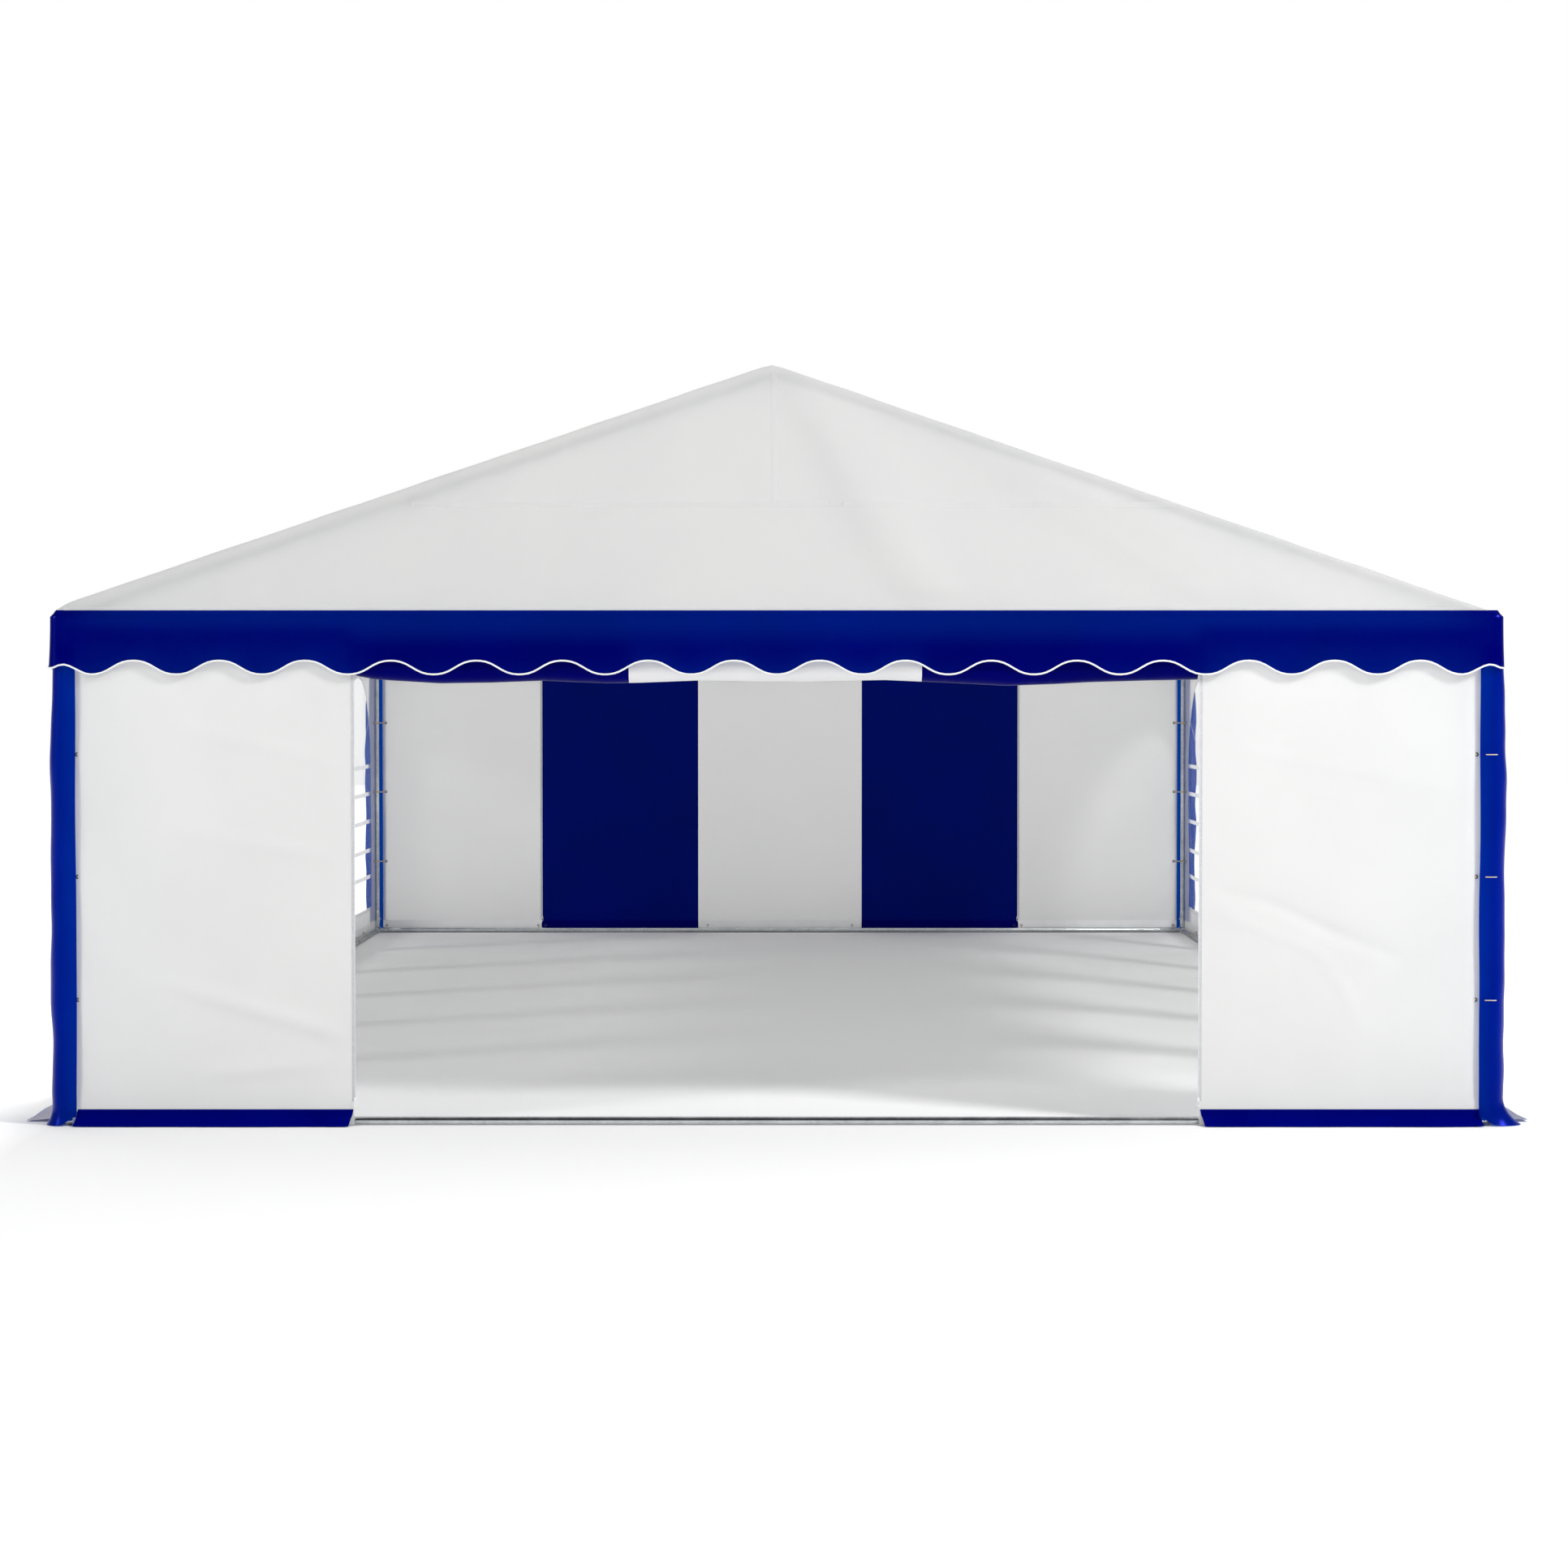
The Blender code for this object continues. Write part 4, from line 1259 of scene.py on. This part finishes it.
groundFlap = {
    "step": 0.02, "rows": 12,
    # Height and distance from the wall, from the weld down to the free edge
    "steep": [(0.0680, 0.004), (0.054, 0.0045), (0.039, 0.006), (0.034, 0.010), (0.018, 0.034),
              (0.0025, 0.060)],
    "laidOut": [(0.0750, 0.004), (0.045, 0.0045), (0.024, 0.014), (0.010, 0.045), (0.005, 0.095),
                (0.0025, 0.155)],
    "slant": 0.012, "doorSlant": 0.016, "sideEnd": 5.845,
    "flat": {"front": (1.15, 0.12), "side": (11.69, 0.20), "back": (5.78, 0.12)},
}


def flapProfile(v, points):
    # v from 1 at the wall to 0 at the free edge
    stations = np.linspace(1, 0, len(points))[::-1]
    heights, reaches = zip(*points[::-1])
    return np.interp(v, stations, heights), np.interp(v, stations, reaches)


def makeGroundFlaps():
    def frontFlap(sign):
        low, high = tent["doorHalf"] + 0.002, tent["coverInner"] + (0.012 if sign > 0 else -0.002)

        def drape(u, v):
            z, out = flapProfile(v, groundFlap["steep"])
            # Both ends are cut slanting: the foot reaches further out than the weld, at the doorway less
            slant = groundFlap["slant"] * u ** 8 + groundFlap["doorSlant"] * (1 - u) ** 8
            away = low + (high - low) * u + (1 - v) * slant
            out = out + 0.004 * softNoise(away, 0 * away, 0.4, 91 + sign) * (1 - v)
            return sign * away, -tent["wallY"] - out, z, away, out + (1 - v) * 0.05
        return drape

    def sideFlap(sign):
        def drape(u, v):
            z, out = flapProfile(v, groundFlap["laidOut"])
            y = (2 * u - 1) * groundFlap["sideEnd"]
            out = out + 0.006 * softNoise(y, 0 * y, 0.5, 95 + sign) * (1 - v)
            z = z + 0.004 * (1 + softNoise(y, out, 0.35, 97 + sign)) * smooth(1 - v, 0.2, 0.8)
            return sign * (tent["wallX"] - 0.010 * smooth(np.abs(y), 5.80, 5.94) + out), y, z, y, out
        return drape

    def backFlap(u, v):
        z, out = flapProfile(v, groundFlap["steep"])
        x = (2 * u - 1) * (tent["coverInner"] - 0.004)
        out = out + 0.006 * softNoise(x, 0 * x, 0.45, 99) * (1 - v)
        return x, tent["wallY"] + out, z, x, out

    # Piece, kind, shape, way it looks, columns, cloth, node, and the wall that it hangs from
    flaps = []
    for side, sign in sides:
        flaps += [(f"frontFlap_{side}", "front", frontFlap(sign), (0, -1, 1), 56, blueFlap, [],
                   f"frontPanel_{side}"),
                  (f"sideFlap_{side}", "side", sideFlap(sign), (sign, 0, 1), 300, blueCloth,
                   [f"ground_flap_{side}"], f"sideWall_{side}")]
    flaps.append(("backFlap", "back", backFlap, (0, 1, 1), 200, blueFlap, ["ground_flap_back"], "backDoor"))
    for name, kind, drape, way, columns, cloth, nodes, wall in flaps:
        flap = stripBetween(name, columns, groundFlap["rows"], drape, [cloth],
                            outward=lambda centres: np.tile(way, (len(centres), 1)), nodes=nodes)


makeGroundFlaps()
print("ground flaps ready")


# Hem bands: a second layer of cloth along the foot of every wall, inside

hemBand = {"low": 0.006, "high": 0.088, "frontShare": 0.7, "proud": 0.0015, "gap": 0.0015}


def addTrim(wall, piece):
    wallTrim.setdefault(wall, []).append(piece)


def makeHemBands():
    def band(place):
        def drape(u, v):
            z = hemBand["low"] + (hemBand["high"] - hemBand["low"]) * v
            return (*place(u, z), z)
        return drape

    for side, sign in sides:
        def onSide(u, z):
            y = (2 * u - 1) * tent["sideEnd"]
            return sign * (tent["wallX"] + wallSwell(y, z, sign) - hemBand["proud"]), y, z, y

        def onFront(u, z):
            z = hemBand["frontShare"] * z
            away = tent["doorHalf"] + (tent["wallEnd"] - tent["doorHalf"]) * u
            return sign * away, -tent["wallY"] - frontSwell(away, z, sign) + hemBand["proud"], z, away

        addTrim(f"sideWall_{side}", stripBetween(f"hemBand_side_{side}", 420, 3, band(onSide), [hemStripPaintedLight]))
        addTrim(f"frontPanel_{side}", stripBetween(f"hemBand_front_{side}", 50, 3, band(onFront), [hemStripPaintedLight]))

    edges = (-tent["wallEnd"], -tent["doorHalf"], -tent["stripeHalf"], tent["stripeHalf"], tent["doorHalf"],
             tent["wallEnd"])
    for number in range(5):
        low, high = edges[number] + hemBand["gap"], edges[number + 1] - hemBand["gap"]
        cloth, slot = (blueDoor, "blue_tarpaulin") if number in (1, 3) else (hemStripPaintedLight, "white_tarpaulin")

        def onBack(u, z):
            x = low + (high - low) * u
            return x, tent["wallY"] + backSwell(x, z) - hemBand["proud"], z, x

        wall = {0: "backPanel_left", 4: "backPanel_right"}.get(number, "backDoor")
        addTrim(wall, stripBetween(f"hemBand_back_{number + 1}", 40, 3, band(onBack), [cloth]))


makeHemBands()
print("hem bands ready")


# Zips at both sides of each doorway: a tape with a row of teeth and a slider

zipper = {
    "tape": 0.014, "inset": 0.006, "low": 0.10, "high": 2.03, "pitch": 0.0055,
    "tooth": (0.0045, 0.0022, 0.0030), "slider": (0.010, 0.006, 0.016),
    "pull": (0.006, 0.0014), "pullLong": 1.9, "pullTilt": math.radians(80),
}


def makeZips():
    for end, endSign in ends:
        for side, sideSign in sides:
            inner = tent["doorHalf"] - zipper["inset"]

            def wallPlace(x, z):
                moved = frontSwell(np.abs(x), z, sideSign) if end == "front" else backSwell(x, z)
                return endSign * (tent["wallY"] + moved) - 0.0016

            def tape(u, v):
                x = sideSign * (inner + zipper["tape"] * u)
                z = zipper["low"] + (zipper["high"] - zipper["low"]) * v
                return x, wallPlace(x, z), z, x, z

            wall = f"frontPanel_{side}" if end == "front" else f"backPanel_{side}"
            addTrim(wall, stripBetween(f"zipTape_{end}_{side}", 2, 90, tape, [greyStrip],
                                       outward=lambda centres: np.tile([0, -1, 0], (len(centres), 1))))
            startPiece()
            middle = sideSign * (inner + 0.0015)
            bpy.ops.mesh.primitive_cube_add(size=1, scale=zipper["tooth"],
                                            location=(middle, 0, zipper["low"]))
            bpy.ops.object.transform_apply(location=True, rotation=False, scale=True)
            teeth = bpy.context.object
            row = teeth.modifiers.new("row", "ARRAY")
            row.use_relative_offset = False
            row.use_constant_offset = True
            row.constant_offset_displace = (0, 0, zipper["pitch"])
            row.count = int((zipper["high"] - zipper["low"]) / zipper["pitch"])
            bpy.ops.object.modifier_apply(modifier=row.name)
            places = readArray(teeth.data.vertices, "co", 3)
            places[:, 1] += wallPlace(np.full(len(places), middle), places[:, 2]) - 0.001
            teeth.data.vertices.foreach_set("co", places.ravel())
            bpy.ops.mesh.primitive_cube_add(size=1, scale=zipper["slider"],
                                            location=(middle, wallPlace(middle, 0.11) - 0.003, 0.108))
            slider = bpy.context.object
            thick, thin = zipper["pull"]
            bpy.ops.mesh.primitive_torus_add(major_radius=thick, minor_radius=thin, major_segments=20,
                                             minor_segments=8, rotation=(zipper["pullTilt"], 0, 0),
                                             location=(middle, wallPlace(middle, 0.1) - 0.0065, 0.094))
            pull = bpy.context.object
            pull.scale.y = zipper["pullLong"]
            whole = joinParts([teeth, slider, pull])
            softenEdges(whole, 0.0004)
            addTrim(wall, finishPiece(whole, f"zipTeeth_{end}_{side}", [whiteStripPaintedShade]))


makeZips()
print("zips ready")


# Eyelets in the walls, and loops of elastic cord that hold them to the legs and the ground bars

eyelet = {
    "ring": 0.0070, "wire": 0.0023, "cord": 0.0022,
    "heights": (1.537, 1.031, 0.521), "endX": 2.892, "sideY": 5.900, "hemZ": 0.050,
    # Along the foot of both ends those with a loop, and at the back also some without
    "looped": (2.890, 1.775), "plain": (1.722, 0.530), "fromMiddle": 0.263,
    "halfApart": 0.0024,        # the two strands of a corner loop
    "swing": 0.004,             # a foot loop sways to and fro as it goes round its bar
    # A stretch of cord over a cover: places along x and how far each stands proud
    "overCover": ((2.926, -0.006), (2.930, 0.0012), (2.942, 0.0022), (2.960, 0.0022), (2.972, 0.0012),
                  (2.977, -0.006)),
    # A foot loop round the ground bar: inward from the bar's middle, and height
    "aroundBar": ((-0.0200, 0.050), (-0.010, 0.045), (0.008, 0.037), (0.0165, 0.028), (0.0185, 0.019),
                  (0.0140, 0.0075), (0.0, 0.0026), (-0.0140, 0.0075), (-0.0190, 0.022), (-0.0205, 0.042)),
}


def makeEyelets(name, places):
    # One ring is modelled; the rest are copies. Each place comes with the way the ring looks.
    startPiece()
    bpy.ops.mesh.primitive_torus_add(major_radius=eyelet["ring"], minor_radius=eyelet["wire"],
                                     major_segments=28, minor_segments=10)
    first = bpy.context.object
    rings = []
    for place, way in places:
        selectOnly(first)
        bpy.ops.object.duplicate()
        ring = bpy.context.object
        ring.location = place
        ring.rotation_euler = Vector(way).to_track_quat("Z", "Y").to_euler()
        rings.append(ring)
    selectOnly(first)
    bpy.ops.object.delete()
    whole = joinParts(rings)
    whole.data.shade_smooth()
    return finishPiece(whole, name, [darkSteel])


def endWallY(x, z, end, sideSign):
    if end == "front":
        return float(-tent["wallY"] - frontSwell(abs(x), z, sideSign))
    return float(tent["wallY"] + backSwell(x, z))


def sideWallX(y, z, sideSign):
    return float(sideSign * (tent["wallX"] + wallSwell(y, z, sideSign)))


def tieCord(name, points, closed=True):
    tubeAlong(name, points, eyelet["cord"], cordSleeve, closed=closed, roundness=2)


def makeCornerTies():
    inner = tent["legRadius"] + eyelet["cord"]
    for end, endSign in ends:
        for side, sideSign in sides:
            rings = []
            for number, z in enumerate(eyelet["heights"]):
                x, y = sideSign * eyelet["endX"], endSign * eyelet["sideY"]
                wallY, wallX = endWallY(x, z, end, sideSign), sideWallX(y, z, sideSign)
                rings += [((x, wallY, z), (0, endSign, 0)), ((wallX, y, z), (sideSign, 0, 0))]
                # From one eyelet round the inner side of the leg to the other, and back a little lower
                legPoints = [(sideSign * (tent["legX"] - inner * math.sin(math.radians(angle))),
                              endSign * (tent["legY"] - inner * math.cos(math.radians(angle))))
                             for angle in (80, 60, 40, 20, 5)]
                path = [(x, wallY + endSign * 0.005), (x, wallY - endSign * 0.006)] + legPoints
                path += [(wallX - sideSign * 0.006, y), (wallX + sideSign * 0.005, y)]
                apart = eyelet["halfApart"]
                loop = [(a, b, z + apart) for a, b in path] + [(a, b, z - apart) for a, b in reversed(path)]
                tieCord(f"cornerLoop_{end}_{side}_{number + 1}", loop)
            makeEyelets(f"cornerEyelets_{end}_{side}", rings)


def makeCoverTies():
    # On two corners a stretch of cord also shows outside, over the cover
    for end, side, sideSign, endSign in (("front", "right", 1, -1), ("back", "left", -1, 1)):
        cover = bpy.data.objects[f"cornerCover_{end}_{side}"]
        for number, z in enumerate(eyelet["heights"]):
            path = []
            for x, proud in eyelet["overCover"]:
                _, place, _, _ = cover.ray_cast((sideSign * x, endSign * 7.0, z), (0, -endSign, 0))
                path.append((place.x, place.y + endSign * proud, z))
            tieCord(f"coverCord_{end}_{number + 1}", path, closed=False)


def makeFootTies():
    z = eyelet["hemZ"]
    for end, endSign in ends:
        rings = []
        looped = [sign * x for x in eyelet["looped"] for sign in (-1, 1)]
        plain = [sign * x for x in eyelet["plain"] for sign in (-1, 1)] if end == "back" else []
        for number, x in enumerate(looped + plain):
            sideSign = 1 if x > 0 else -1
            wallY = endWallY(x, z, end, sideSign)
            rings.append(((x, wallY, z), (0, endSign, 0)))
            if number < len(looped):
                loop = [(x + eyelet["swing"] * math.sin(index), endSign * (tent["legY"] - inward), height)
                        for index, (inward, height) in enumerate(eyelet["aroundBar"])]
                tieCord(f"footLoop_{end}_{number + 1}", loop)
        makeEyelets(f"footEyelets_{end}", rings)
    for side, sideSign in sides:
        rings = []
        for number in range(2 * tent["bays"]):
            y = bayMiddle(number // 2) + eyelet["fromMiddle"] * (1 if number % 2 else -1)
            rings.append(((sideWallX(y, z, sideSign), y, z), (sideSign, 0, 0)))
            loop = [(sideSign * (tent["legX"] - inward), y + eyelet["swing"] * math.sin(index), height)
                    for index, (inward, height) in enumerate(eyelet["aroundBar"])]
            tieCord(f"footLoop_{side}_{number + 1}", loop)
        makeEyelets(f"footEyelets_{side}", rings)


makeCornerTies()
makeCoverTies()
makeFootTies()
print("eyelets and loops ready")
